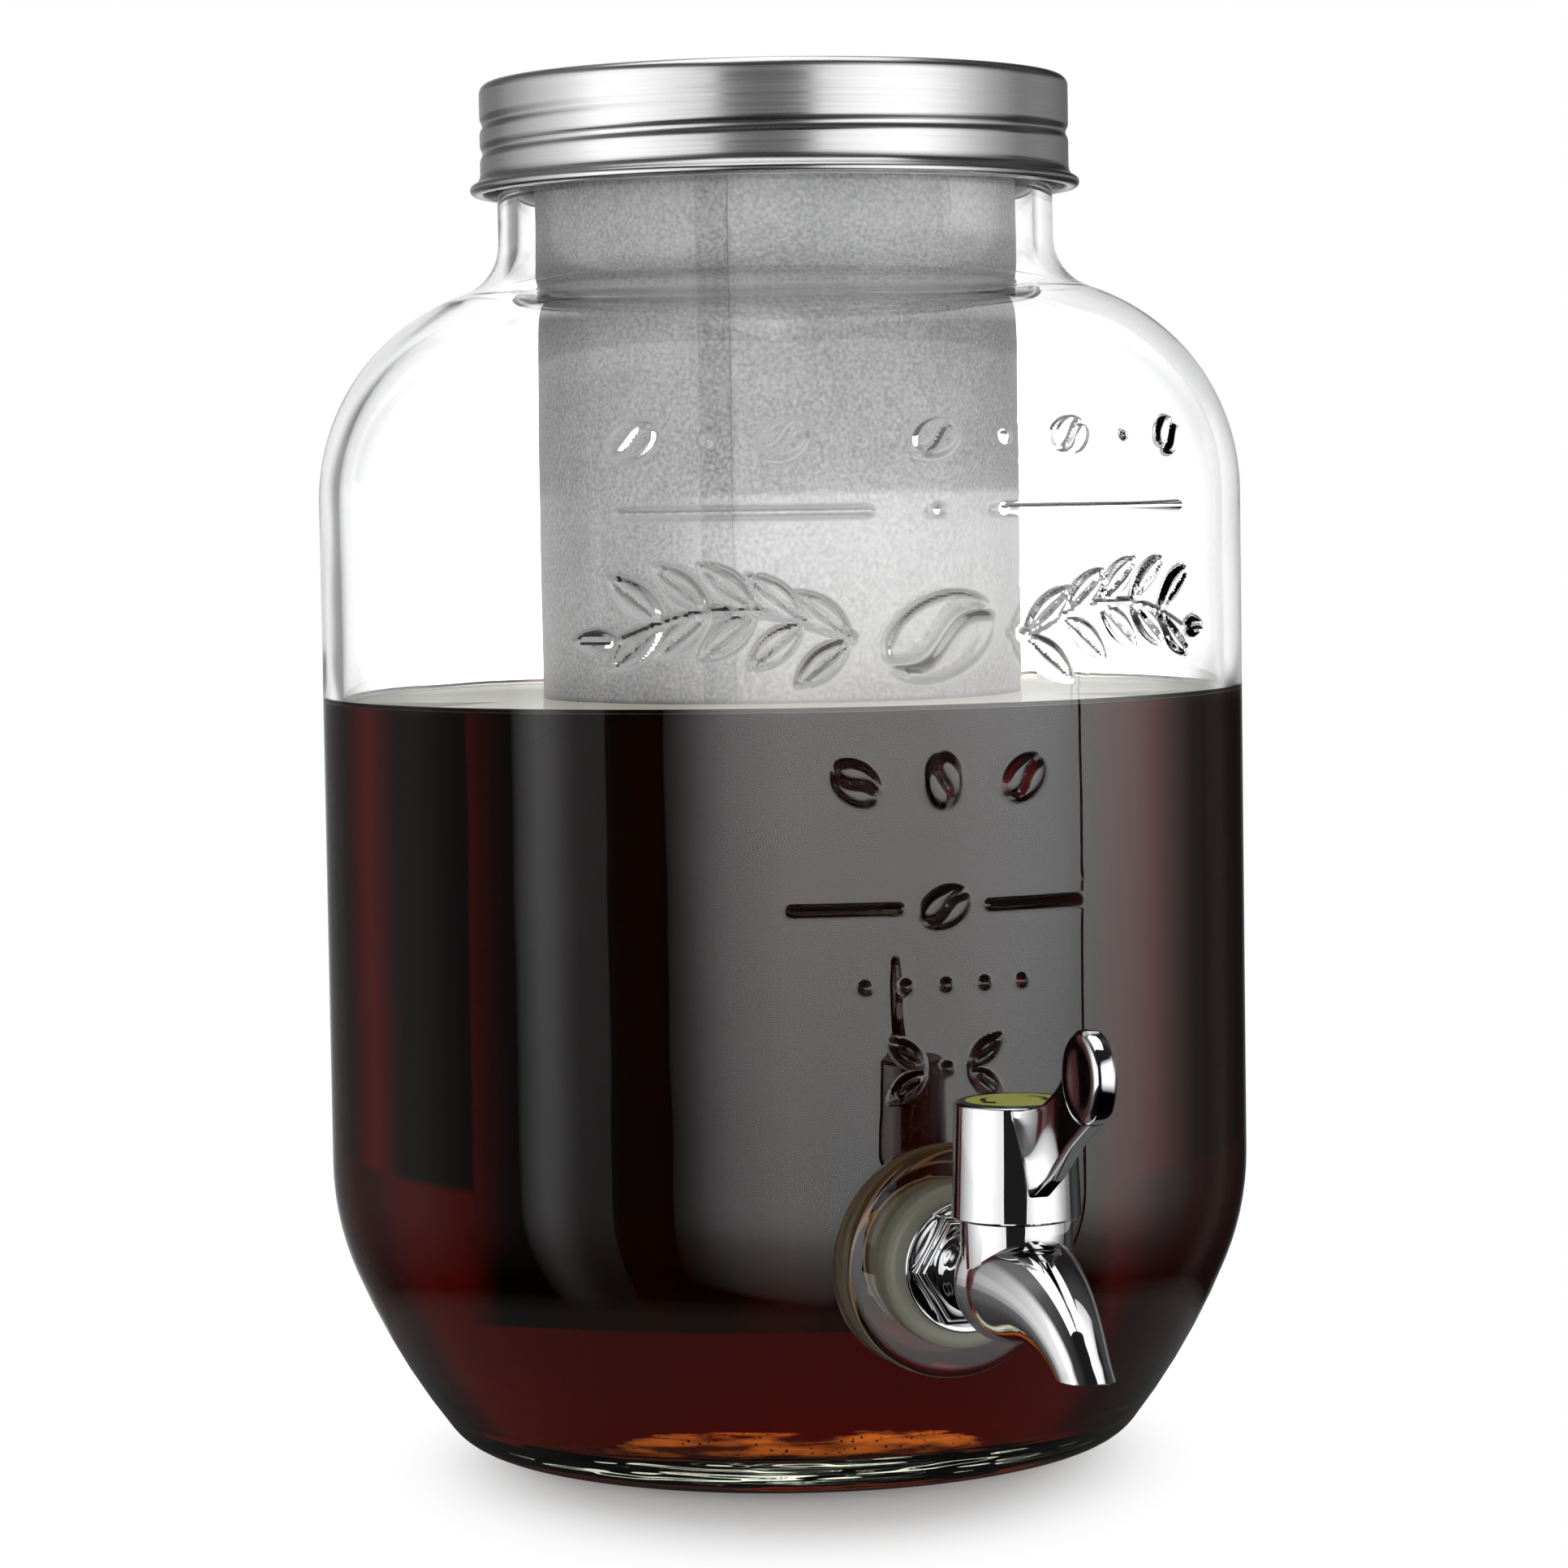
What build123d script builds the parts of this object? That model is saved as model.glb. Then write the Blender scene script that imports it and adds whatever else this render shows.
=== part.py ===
from build123d import *
from math import acos, asin, cos, degrees, pi, radians, sin, sqrt
import os

# Cold brew coffee maker: a glass jar with a screwed steel lid, a mesh filter hanging in its mouth
# and a chromed tap through its wall.
# Millimetres. +Z is up, the origin is the centre of the jar's foot, and the tap points to -Y.

# ---- jar ----
body_radius = 83.4  # outside of the straight side
wall = 3.5
foot_ring = 8.0  # width of the ring that the jar stands on
floor_height = 8.0  # inside floor above the table
punt_height = 3.5  # hollow under the middle of the base
inner_heel_radius = 6.0  # fillet between the inside floor and the wall
heel_radius = 10.2
flank_radius = 126.0
haunch_radius = 50.0
flank_start_turn = 52.5  # direction of the outline where the heel ends, degrees from level
flank_turn = 15.2  # how far the flank turns, in degrees
shoulder_drop = 71.3  # from the mouth down to where the straight side ends
shoulder_radius = 39.0
throat_radius = 10.0
neck_radius = 50.2
jar_height = 242.8
lip_round = 1.2

# ---- screw thread of the neck and the lid ----
thread_pitch = 5.0
thread_turns = 1.4
thread_height = 1.5  # how far the glass thread stands out of the neck
thread_width = 3.2  # at its buried root
thread_sink = 0.5  # how deep its root is buried in the neck
thread_top_drop = 9.5  # from the mouth down to the middle of the thread's start

# ---- raised ornament on the front of the jar ----
relief_height = 0.9
leaf_length = 13.0
leaf_width = 5.4
small_leaf_length = 9.0
small_leaf_width = 4.0
bean_length = 21.0
bean_width = 14.0
bean_groove = 1.8
small_bean_length = 10.0
small_bean_width = 7.0
small_bean_groove = 1.1
dot_radius = 1.3
rule_width = 2.0
garland_drop = 23.5  # from the end of the straight side down to the leaf garland's middle
garland_reach = 54.0  # how far each branch runs from the middle, along the glass
garland_gap = 15.0  # where each branch starts
garland_wave = 5.0
garland_leaves = 5  # leaves above and below each branch
leaf_lean = 38.0  # degrees from the stem
bean_turn = 24.0
garland_stem_pieces = 8
border_rise = 9.5  # above the end of the straight side, on the shoulder
border_reach = 52.0
border_beans = 9
upper_rule_drop = 2.5  # this and the drops below are from the end of the straight side
upper_rule_gap = 12.0
trio_drop = 47.5
trio_spacing = 15.0
lower_rule_drop = 68.5
lower_rule_reach = 26.0
lower_rule_gap = 8.0
dot_row_drop = 81.5
dot_row_spacing = 7.0
dot_row_count = 5
twig_drop = 95.5
twig_spread = 7.0

# ---- lid ----
lid_sheet = 0.5
lid_corner = 1.8
lid_gap = 2.5  # between the neck and the inside of the lid
lid_skirt = 20.0  # overall height of the lid
flare_height = 1.6  # where the skirt starts to turn out, above the curl
curl_radius = 1.0  # rolled lower edge
curl_reach = 0.9  # how far the middle of the curl stands outside the skirt
groove_tool_radius = 1.6
groove_depth = 0.5
groove_turns = 1.42
groove_start_drop = 10.9  # from the lid's top down to the middle of the groove's start
groove_start_angle = 90.0
liner_thickness = 1.0
gasket_thickness = 1.5
gasket_width = 5.0

# ---- filter ----
filter_radius = 43.5
filter_floor_gap = 23.4  # under the filter, above the jar's inside floor
mesh_thickness = 0.5
collar_sheet = 0.6
collar_skirt = 12.0
flange_overhang = 0.3  # how far the filter's flange stands outside the jar's mouth
seam_width = 5.5
seam_thickness = 0.4
seam_angle = 36.5  # degrees from the tap, towards -X
band_height = 9.0
band_sheet = 0.5

# ---- tap, glass boss and seals ----
tap_height = 44.0
boss_radius = 19.7
boss_stand = 3.3  # boss face outside the jar's straight side
boss_round = 2.0
boss_thickness = 10.2  # glass between the two seats
inner_seat_radius = 16.0
hole_radius = 8.5
shank_radius = 8.0
shank_bore = 4.5
outer_washer_radius = 14.0
outer_washer_thickness = 4.5
outer_washer_round = 1.2
inner_washer_radius = 13.0
inner_washer_thickness = 2.5
washer_gap = 0.2
nut_washer_thickness = 1.2
nut_across_flats = 22.0
nut_thickness = 5.5
nut_chamfer = 0.8
shank_past_nut = 2.5
flange_radius = 11.1
flange_thickness = 1.3
flange_round = 0.4
tap_hex_across_flats = 18.0
tap_hex_thickness = 3.5
tap_hex_step = 0.9
tap_neck_radius = 7.0
barrel_reach = 114.3  # jar axis to the barrel's axis
barrel_radius = 9.1
elbow_radius = 9.5
elbow_rise = 1.0  # elbow's centre above the shank's axis
barrel_top = 55.3
spout_length = 28.7  # barrel axis to the outlet's centre
outlet_height = 34.0
outlet_radius = 4.5
outlet_bore = 3.6
spout_lead = 13.0  # how far the spout runs level before it falls
spout_fall = 10.8  # length of its straight fall to the outlet
outlet_slope = radians(48)
spout_taper = 1.3
spout_sections = 4
horn_inset = 0.2  # the spout starts this much inside the elbow

# ---- tap valve and handle ----
barrel_bore = 7.0
spigot_radius = 8.3
spigot_height = 10.7  # narrow top of the barrel, inside the cap
chamber_depth = 15.0  # from the barrel's shoulder down to the chamber's floor
sleeve_wall = 0.8
sleeve_height = 10.0
port_radius = 3.0
running_clearance = 0.05
plug_end_gap = 0.3
ring_section = 0.75
ring_groove_width = 1.7
ring_spacing = 4.0
stem_radius = 4.0
bush_height = 5.0
bush_end_gap = 0.4
drive_size = 5.4
drive_height = 3.2
cap_gap = 0.3
cap_height = 18.6
cap_bottom_radius = 10.5
cap_top_radius = 9.8
cap_edge_round = 0.5
cap_web = 1.5
insert_rim = 0.7
insert_thickness = 1.8
insert_stand = 0.2
label_rim = 1.1
label_thickness = 0.2
screw_radius = 1.5
screw_length = 9.0
screw_head_radius = 2.8
screw_head_height = 1.3
head_gap = 0.3
lever_thickness = 2.8
thumb_reach = 31.7  # barrel axis to the thumb disc's centre
thumb_rise = 7.3  # thumb disc's centre above the cap's top
thumb_radius = 7.5
thumb_thickness = 3.9
thumb_round = 1.2
fin_root = 9.5  # where the lever starts, from the barrel's axis
fin_rise = 4.0  # lever's lower edge above the cap's bottom
fin_sag = 1.2
fin_top_sag = 1.8
fin_top_drop = 0.4

# ---- places worked out from the sizes above ----
shoulder_turn = degrees(
    acos((neck_radius + throat_radius - body_radius + shoulder_radius) / (shoulder_radius + throat_radius))
)
haunch_turn = 90 - flank_start_turn - flank_turn
flank_slope = radians(90 - flank_start_turn)
haunch_slope = radians(haunch_turn)
heel_centre = (
    body_radius
    - haunch_radius
    - (flank_radius - haunch_radius) * cos(haunch_slope)
    + (flank_radius - heel_radius) * cos(flank_slope)
)
shoulder_base = jar_height - shoulder_drop
garland_height = shoulder_base - garland_drop
border_height = shoulder_base + border_rise
upper_rule_height = shoulder_base - upper_rule_drop
trio_height = shoulder_base - trio_drop
lower_rule_height = shoulder_base - lower_rule_drop
dot_row_height = shoulder_base - dot_row_drop
twig_height = shoulder_base - twig_drop
mouth_radius = neck_radius - wall
filter_top = jar_height + collar_sheet
filter_bottom = floor_height + filter_floor_gap
gasket_top = filter_top + gasket_thickness
liner_top = gasket_top + liner_thickness
lid_top = liner_top + lid_sheet
lid_radius = neck_radius + lid_gap + lid_sheet
flange_outer = neck_radius + flange_overhang

groove_tool_reach = lid_radius + groove_tool_radius - groove_depth
groove_start = lid_top - groove_start_drop

boss_face = body_radius + boss_stand
inner_seat = boss_face - boss_thickness
nut_washer_seat = inner_seat - inner_washer_thickness
nut_seat = nut_washer_seat - nut_washer_thickness
shank_end = nut_seat - nut_thickness - shank_past_nut
flange_seat = boss_face + outer_washer_thickness
hex_seat = flange_seat + flange_thickness
elbow_height = tap_height + elbow_rise
spigot_top = barrel_top + spigot_height
chamber_floor = barrel_top - chamber_depth
plug_radius = barrel_bore - sleeve_wall - running_clearance
plug_bottom = chamber_floor + plug_end_gap
sleeve_top = chamber_floor + sleeve_height
piston_bottom = sleeve_top + plug_end_gap
bush_bottom = spigot_top - bush_height
piston_top = bush_bottom - bush_end_gap
piston_radius = barrel_bore - running_clearance
ring_middle = (piston_bottom + piston_top) / 2
ring_heights = (ring_middle - ring_spacing / 2, ring_middle + ring_spacing / 2)
ring_groove_floor = piston_radius - 2 * ring_section - running_clearance
drive_top = spigot_top + drive_height
cap_bottom = barrel_top + cap_gap
cap_top = cap_bottom + cap_height
cap_ceiling = spigot_top + cap_gap
cap_cavity_radius = spigot_radius + cap_gap
insert_radius = cap_top_radius - insert_rim
insert_bottom = cap_top + insert_stand - insert_thickness
insert_top = cap_top + insert_stand
screw_seat = drive_top + cap_web
thumb_height = cap_top + thumb_rise
thumb_foot = thumb_height - thumb_radius

axis_line = Axis((0, -barrel_reach, 0), (0, 0, 1))
# side view of the tap: local x is the distance from the jar's axis, local y is the height
side_plane = Plane(origin=(0, 0, 0), x_dir=(0, -1, 0), z_dir=(-1, 0, 0))


def tap_plane(reach):
    """Plane across the tap's shank at a distance from the jar's axis, facing outwards."""
    return Plane(origin=(0, -reach, tap_height), x_dir=(1, 0, 0), z_dir=(0, -1, 0))


def barrel_plane(height):
    """Level plane centred on the tap's barrel."""
    return Plane(origin=(0, -barrel_reach, height), x_dir=(1, 0, 0), z_dir=(0, 0, 1))


def half_plane(angle):
    """Upright plane through the jar's axis, turned from +X by an angle in degrees."""
    turn = radians(angle)
    return Plane(origin=(0, 0, 0), x_dir=(cos(turn), sin(turn), 0), z_dir=(sin(turn), -cos(turn), 0))


def panel_plane(along, height):
    """Plane that touches the jar's side or shoulder, a distance along the glass from the tap's side."""
    angle = along / body_radius
    rise = max(height - shoulder_base, 0)
    lean = asin(rise / shoulder_radius)
    reach = body_radius - shoulder_radius + sqrt(shoulder_radius**2 - rise**2)
    return Plane(
        origin=(reach * sin(angle), -reach * cos(angle), height),
        x_dir=(cos(angle), sin(angle), 0),
        z_dir=(sin(angle) * cos(lean), -cos(angle) * cos(lean), sin(lean)),
    )


def jar_outline(inset):
    """Half outline of the jar, inset from its outer skin, drawn in the open BuildLine."""
    foot_line = Line((0, inset), (heel_centre, inset))
    heel = JernArc(foot_line @ 1, (1, 0), heel_radius - inset, flank_start_turn)
    flank = JernArc(heel @ 1, heel % 1, flank_radius - inset, flank_turn)
    haunch = JernArc(flank @ 1, flank % 1, haunch_radius - inset, haunch_turn)
    side = Line(haunch @ 1, (body_radius - inset, shoulder_base))
    shoulder = JernArc(side @ 1, (0, 1), shoulder_radius - inset, shoulder_turn)
    throat = JernArc(shoulder @ 1, shoulder % 1, throat_radius + inset, -shoulder_turn)
    neck = Line(throat @ 1, (neck_radius - inset, jar_height))
    Polyline(neck @ 1, (0, jar_height), (0, inset))


# ---- glass jar ----
# Relief motifs, each drawn flat and then laid on the glass.
def leaf_shape(length, width):
    with BuildSketch() as leaf:
        with BuildLine():
            ThreePointArc((-length / 2, 0), (0, width / 2), (length / 2, 0))
            ThreePointArc((length / 2, 0), (0, -width / 2), (-length / 2, 0))
        make_face()
    return leaf.sketch


def bean_shape(length, width, groove):
    with BuildSketch() as bean:
        Ellipse(length / 2, width / 2)
        with BuildLine() as crease:
            Spline(
                (-length / 2, -width / 8),
                (-length / 5, width / 8),
                (length / 5, -width / 8),
                (length / 2, width / 8),
            )
        trace(crease.line, line_width=groove, mode=Mode.SUBTRACT)
    return bean.sketch


with BuildSketch() as dot:
    Circle(dot_radius)

leaf_motif = leaf_shape(leaf_length, leaf_width)
small_leaf_motif = leaf_shape(small_leaf_length, small_leaf_width)
bean_motif = bean_shape(bean_length, bean_width, bean_groove)
small_bean_motif = bean_shape(small_bean_length, small_bean_width, small_bean_groove)


def branch_height(along):
    """Height of the garland's stem above its middle line."""
    share = (abs(along) - garland_gap) / (garland_reach - garland_gap)
    return garland_wave * sin(pi * share)


# each motif: shape, distance along the glass, height, turn in degrees
motifs = [(bean_motif, 0, garland_height, bean_turn)]
# each stroke: distance along the glass, height, length, turn in degrees
strokes = []
leaf_step = (garland_reach - garland_gap) / garland_leaves
stem_step = (garland_reach - garland_gap) / garland_stem_pieces
for side in (-1, 1):
    for number in range(garland_leaves):
        root = garland_gap + number * leaf_step
        for lean in (leaf_lean, -leaf_lean):
            along = side * (root + leaf_length / 2 * cos(radians(lean)))
            height = garland_height + branch_height(root) + leaf_length / 2 * sin(radians(lean))
            motifs.append((leaf_motif, along, height, side * lean))
    motifs.append((small_leaf_motif, side * (garland_reach + small_leaf_length / 2), garland_height, 0))
    motifs.append((small_bean_motif, side * trio_spacing, trio_height, side * leaf_lean))
    for lean in (leaf_lean, -leaf_lean):
        height = twig_height + small_leaf_length / 2 * sin(radians(lean))
        motifs.append((small_leaf_motif, side * twig_spread, height, side * lean))
    for number in range(garland_stem_pieces):
        start = garland_gap + number * stem_step
        rise = branch_height(start + stem_step) - branch_height(start)
        middle = garland_height + branch_height(start) + rise / 2
        strokes.append((side * (start + stem_step / 2), middle, stem_step, side * degrees(rise / stem_step)))
    for height, start, end in (
        (upper_rule_height, upper_rule_gap, garland_reach),
        (lower_rule_height, lower_rule_gap, lower_rule_reach),
    ):
        count = round((end - start) / leaf_length)
        length = (end - start) / count
        for number in range(count):
            strokes.append((side * (start + (number + 0.5) * length), height, length, 0))
for number in range(border_beans):
    along = border_reach * (2 * number / (border_beans - 1) - 1)
    shape = small_bean_motif if number % 2 == 0 else dot.sketch
    motifs.append((shape, along, border_height, bean_turn))
motifs.append((small_bean_motif, 0, trio_height, 90))
motifs.append((dot.sketch, 0, upper_rule_height, 0))
motifs.append((small_bean_motif, 0, lower_rule_height, bean_turn))
motifs.append((dot.sketch, 0, twig_height, 0))
for number in range(dot_row_count):
    along = dot_row_spacing * (number - (dot_row_count - 1) / 2)
    motifs.append((dot.sketch, along, dot_row_height, 0))

with BuildPart() as cavity:
    with BuildSketch(Plane.XZ) as cavity_half:
        with BuildLine():
            jar_outline(wall)
        make_face()
        Rectangle(2 * body_radius, 2 * floor_height, mode=Mode.SUBTRACT)
        floor_corner = cavity_half.vertices().group_by(Axis.Y)[0].sort_by(Axis.X)[-1]
        fillet(floor_corner, radius=inner_heel_radius)
    revolve(axis=Axis.Z)

with BuildPart() as whole_glass:
    with BuildSketch(Plane.XZ):
        with BuildLine():
            jar_outline(0)
        make_face()
    revolve(axis=Axis.Z)
    with BuildSketch(tap_plane(mouth_radius)):
        Circle(boss_radius)
    extrude(amount=boss_face - mouth_radius)
    boss_rim = whole_glass.faces().sort_by(Axis.Y)[0].outer_wire()
    fillet(boss_rim.edges(), radius=boss_round)
    for shape, along, height, turn in motifs:
        with BuildSketch(panel_plane(along, height)):
            add(shape, rotation=turn)
    for along, height, length, turn in strokes:
        with BuildSketch(panel_plane(along, height)):
            SlotCenterToCenter(length, rule_width, rotation=turn)
    extrude(amount=relief_height, both=True)
    add(cavity.part, mode=Mode.SUBTRACT)
    with BuildSketch(tap_plane(inner_seat)):
        Circle(inner_seat_radius)
    extrude(amount=boss_thickness / 2)
    with BuildSketch(tap_plane(mouth_radius)):
        Circle(inner_seat_radius)
    extrude(amount=inner_seat - mouth_radius, mode=Mode.SUBTRACT)
    with BuildSketch(tap_plane(mouth_radius)):
        Circle(hole_radius)
    extrude(amount=2 * (boss_face - mouth_radius), mode=Mode.SUBTRACT)
    with BuildSketch(Plane.XZ):
        with BuildLine():
            punt_edge = heel_centre - foot_ring
            ThreePointArc((-punt_edge, 0), (0, punt_height), (punt_edge, 0))
            Line((punt_edge, 0), (-punt_edge, 0))
        make_face()
        split(bisect_by=Plane.YZ)
    revolve(axis=Axis.Z, mode=Mode.SUBTRACT)
    fillet(whole_glass.edges().filter_by(GeomType.CIRCLE).group_by(Axis.Z)[-1], radius=lip_round)
    with BuildLine(Plane.XY.offset(jar_height - thread_top_drop)):
        thread_path = Helix(thread_pitch, thread_pitch * thread_turns, neck_radius)
    with BuildSketch(Plane.XZ):
        with Locations((neck_radius + (thread_height - thread_sink) / 2, jar_height - thread_top_drop)):
            Trapezoid(thread_width, thread_height + thread_sink, 65, rotation=-90)
    sweep(path=thread_path, is_frenet=True)

# The mould's parting lines divide the glass into its bottom plate and the front and back halves of its wall.
with BuildPart(mode=Mode.PRIVATE) as bottom_zone:
    Cylinder(radius=heel_centre, height=4 * floor_height)

with BuildPart() as glass_bottom:
    add(whole_glass.part)
    add(bottom_zone.part, mode=Mode.INTERSECT)

with BuildPart() as glass_front:
    add(whole_glass.part)
    add(bottom_zone.part, mode=Mode.SUBTRACT)
    split(bisect_by=Plane.XZ, keep=Keep.TOP)

with BuildPart() as glass_back:
    add(whole_glass.part)
    add(bottom_zone.part, mode=Mode.SUBTRACT)
    split(bisect_by=Plane.XZ, keep=Keep.BOTTOM)

# ---- lid: drawn steel shell, loose liner disc and sealing ring ----
curl_height = lid_top - lid_skirt + curl_radius
with BuildPart() as lid_shell:
    with BuildSketch(Plane.XZ):
        with BuildLine():
            top_line = Line((0, lid_top), (lid_radius - lid_corner, lid_top))
            corner = JernArc(top_line @ 1, (1, 0), lid_corner, -90)
            skirt_line = Line(corner @ 1, (lid_radius, curl_height + curl_radius + flare_height))
            curl_crown = (lid_radius + curl_reach, curl_height + curl_radius)
            flare = TangentArc(skirt_line @ 1, curl_crown, tangent=(0, -1))
            curl = JernArc(curl_crown, (1, 0), curl_radius, -180)
            inside = Polyline(
                curl @ 1,
                (lid_radius - lid_sheet, curl_height - curl_radius),
                (lid_radius - lid_sheet, lid_top - lid_corner),
            )
            inner_corner = JernArc(inside @ 1, (0, 1), lid_corner - lid_sheet, 90)
            Polyline(inner_corner @ 1, (0, liner_top), (0, lid_top))
        make_face()
    revolve(axis=Axis.Z)
    with BuildLine() as groove_line:
        groove_helix = Helix(
            thread_pitch, thread_pitch * groove_turns, lid_radius, (0, 0, groove_start), mode=Mode.PRIVATE
        )
        add(groove_helix, rotation=(0, 0, groove_start_angle))
    with BuildSketch(half_plane(groove_start_angle)) as bead_section:
        with Locations((groove_tool_reach, groove_start)):
            Circle(groove_tool_radius + lid_sheet)
            Circle(groove_tool_radius, mode=Mode.SUBTRACT)
        with Locations((lid_radius - lid_sheet / 2, groove_start)):
            Rectangle(
                2 * (groove_depth + lid_sheet),
                4 * groove_tool_radius,
                align=(Align.MAX, Align.CENTER),
                mode=Mode.INTERSECT,
            )
    sweep(path=groove_line.wires()[0], is_frenet=True)
    with BuildSketch(half_plane(groove_start_angle)):
        with Locations((groove_tool_reach, groove_start)):
            Circle(groove_tool_radius)
    sweep(path=groove_line.wires()[0], is_frenet=True, mode=Mode.SUBTRACT)

with BuildPart() as lid_liner:
    with BuildSketch(Plane.XY.offset(gasket_top)):
        Circle(lid_radius - lid_corner)
    extrude(amount=liner_thickness)

with BuildPart() as lid_gasket:
    with BuildSketch(Plane.XY.offset(filter_top)):
        Circle(flange_outer)
        Circle(flange_outer - gasket_width, mode=Mode.SUBTRACT)
    extrude(amount=gasket_thickness)

# ---- filter: spun collar, rolled mesh sleeve with a welded seam, and a banded mesh bottom ----
with BuildPart() as filter_collar:
    with BuildSketch(Plane.XY.offset(jar_height)):
        Circle(flange_outer)
    extrude(amount=collar_sheet)
    with BuildSketch(Plane.XY.offset(filter_top - collar_skirt)):
        Circle(filter_radius - mesh_thickness)
    extrude(amount=collar_skirt)
    with BuildSketch(Plane.XY.offset(filter_top - collar_skirt)):
        Circle(filter_radius - mesh_thickness - collar_sheet)
    extrude(amount=collar_skirt, mode=Mode.SUBTRACT)

with BuildPart() as filter_mesh_sleeve:
    with BuildSketch(Plane.XY.offset(filter_bottom + mesh_thickness)):
        Circle(filter_radius)
        Circle(filter_radius - mesh_thickness, mode=Mode.SUBTRACT)
    extrude(amount=jar_height - filter_bottom - mesh_thickness)

with BuildPart() as filter_seam_strip:
    with BuildSketch(half_plane(-90 - seam_angle)):
        with Locations((filter_radius, filter_bottom + band_height)):
            Rectangle(
                seam_thickness, jar_height - filter_bottom - band_height, align=(Align.MIN, Align.MIN)
            )
    revolve(axis=Axis.Z, revolution_arc=degrees(seam_width / filter_radius))

with BuildPart() as filter_bottom_band:
    with BuildSketch(Plane.XY.offset(filter_bottom)):
        Circle(filter_radius + band_sheet)
        Circle(filter_radius, mode=Mode.SUBTRACT)
    extrude(amount=band_height)

with BuildPart() as filter_bottom_mesh:
    with BuildSketch(Plane.XY.offset(filter_bottom)):
        Circle(filter_radius)
    extrude(amount=mesh_thickness)

# ---- seals and nut that clamp the tap to the glass ----
with BuildPart() as outer_washer:
    with BuildSketch(tap_plane(boss_face)):
        Circle(outer_washer_radius)
        Circle(shank_radius + washer_gap, mode=Mode.SUBTRACT)
    extrude(amount=outer_washer_thickness)
    washer_front = outer_washer.faces().sort_by(Axis.Y)[0].outer_wire()
    fillet(washer_front.edges(), radius=outer_washer_round)

with BuildPart() as inner_washer:
    with BuildSketch(tap_plane(nut_washer_seat)):
        Circle(inner_washer_radius)
        Circle(shank_radius + washer_gap, mode=Mode.SUBTRACT)
    extrude(amount=inner_washer_thickness)

with BuildPart() as nut_washer:
    with BuildSketch(tap_plane(nut_seat)):
        Circle(inner_washer_radius)
        Circle(shank_radius + washer_gap, mode=Mode.SUBTRACT)
    extrude(amount=nut_washer_thickness)

with BuildPart() as lock_nut:
    with BuildSketch(tap_plane(nut_seat - nut_thickness)):
        RegularPolygon(nut_across_flats / 2, 6, major_radius=False, rotation=90)
    extrude(amount=nut_thickness)
    nut_ends = lock_nut.faces().filter_by(Axis.Y).edges()
    chamfer(nut_ends, length=nut_chamfer)
    with BuildSketch(tap_plane(nut_seat - nut_thickness)):
        Circle(shank_radius)
    extrude(amount=nut_thickness, mode=Mode.SUBTRACT)


# ---- tap body: one casting with shank, flange, hexagon, elbow, barrel and spout ----
def spout_horn(start_radius, end_radius):
    """Round horn along the spout's centre line, cut level at the outlet."""
    with BuildPart() as horn:
        with BuildLine(side_plane) as route:
            centre_line = Bezier(
                (barrel_reach, elbow_height),
                (barrel_reach + spout_lead, elbow_height),
                (barrel_reach + spout_length - spout_fall * cos(outlet_slope),
                 outlet_height + spout_fall * sin(outlet_slope)),
                (barrel_reach + spout_length, outlet_height),
            )
        for number in range(spout_sections + 1):
            share = number / spout_sections
            radius = end_radius + (start_radius - end_radius) * (1 - share) ** spout_taper
            with BuildSketch(Plane(origin=centre_line @ share, x_dir=(1, 0, 0), z_dir=centre_line % share)):
                Circle(radius)
        tail = centre_line @ 1 + centre_line % 1 * 2 * end_radius
        with BuildSketch(Plane(origin=tail, x_dir=(1, 0, 0), z_dir=centre_line % 1)):
            Circle(end_radius)
        loft()
        split(bisect_by=Plane.XY.offset(outlet_height), keep=Keep.TOP)
    return horn.part


with BuildPart() as tap_body:
    with BuildSketch(tap_plane(shank_end)):
        Circle(shank_radius)
    extrude(amount=hex_seat - shank_end)
    chamfer(tap_body.faces().sort_by(Axis.Y)[-1].edges(), length=nut_chamfer)
    with BuildSketch(tap_plane(flange_seat)):
        Circle(flange_radius)
    extrude(amount=flange_thickness)
    fillet(tap_body.faces().sort_by(Axis.Y)[0].edges(), radius=flange_round)
    with BuildSketch(tap_plane(hex_seat)):
        RegularPolygon(tap_hex_across_flats / 2, 6, major_radius=False, rotation=90)
    extrude(amount=tap_hex_thickness - tap_hex_step)
    with BuildSketch(tap_plane(hex_seat)):
        RegularPolygon(tap_hex_across_flats / 2 - tap_hex_step, 6, major_radius=False, rotation=90)
    extrude(amount=tap_hex_thickness)
    with BuildSketch(tap_plane(hex_seat)):
        Circle(tap_neck_radius)
    extrude(amount=barrel_reach - hex_seat)
    with Locations((0, -barrel_reach, elbow_height)):
        Sphere(elbow_radius)
    with BuildSketch(barrel_plane(elbow_height)):
        Circle(barrel_radius)
    extrude(amount=barrel_top - elbow_height)
    with BuildSketch(barrel_plane(elbow_height)):
        Circle(spigot_radius)
    extrude(amount=spigot_top - elbow_height)
    add(spout_horn(elbow_radius - horn_inset, outlet_radius))
    add(spout_horn(port_radius, outlet_bore), mode=Mode.SUBTRACT)
    with BuildSketch(tap_plane(shank_end)):
        Circle(shank_bore)
    extrude(amount=barrel_reach - shank_end, mode=Mode.SUBTRACT)
    with BuildSketch(tap_plane(barrel_reach)):
        Circle(port_radius)
    extrude(amount=barrel_bore + port_radius, mode=Mode.SUBTRACT)
    with BuildSketch(barrel_plane(chamber_floor)):
        Circle(barrel_bore)
    extrude(amount=spigot_top - chamber_floor, mode=Mode.SUBTRACT)

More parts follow.
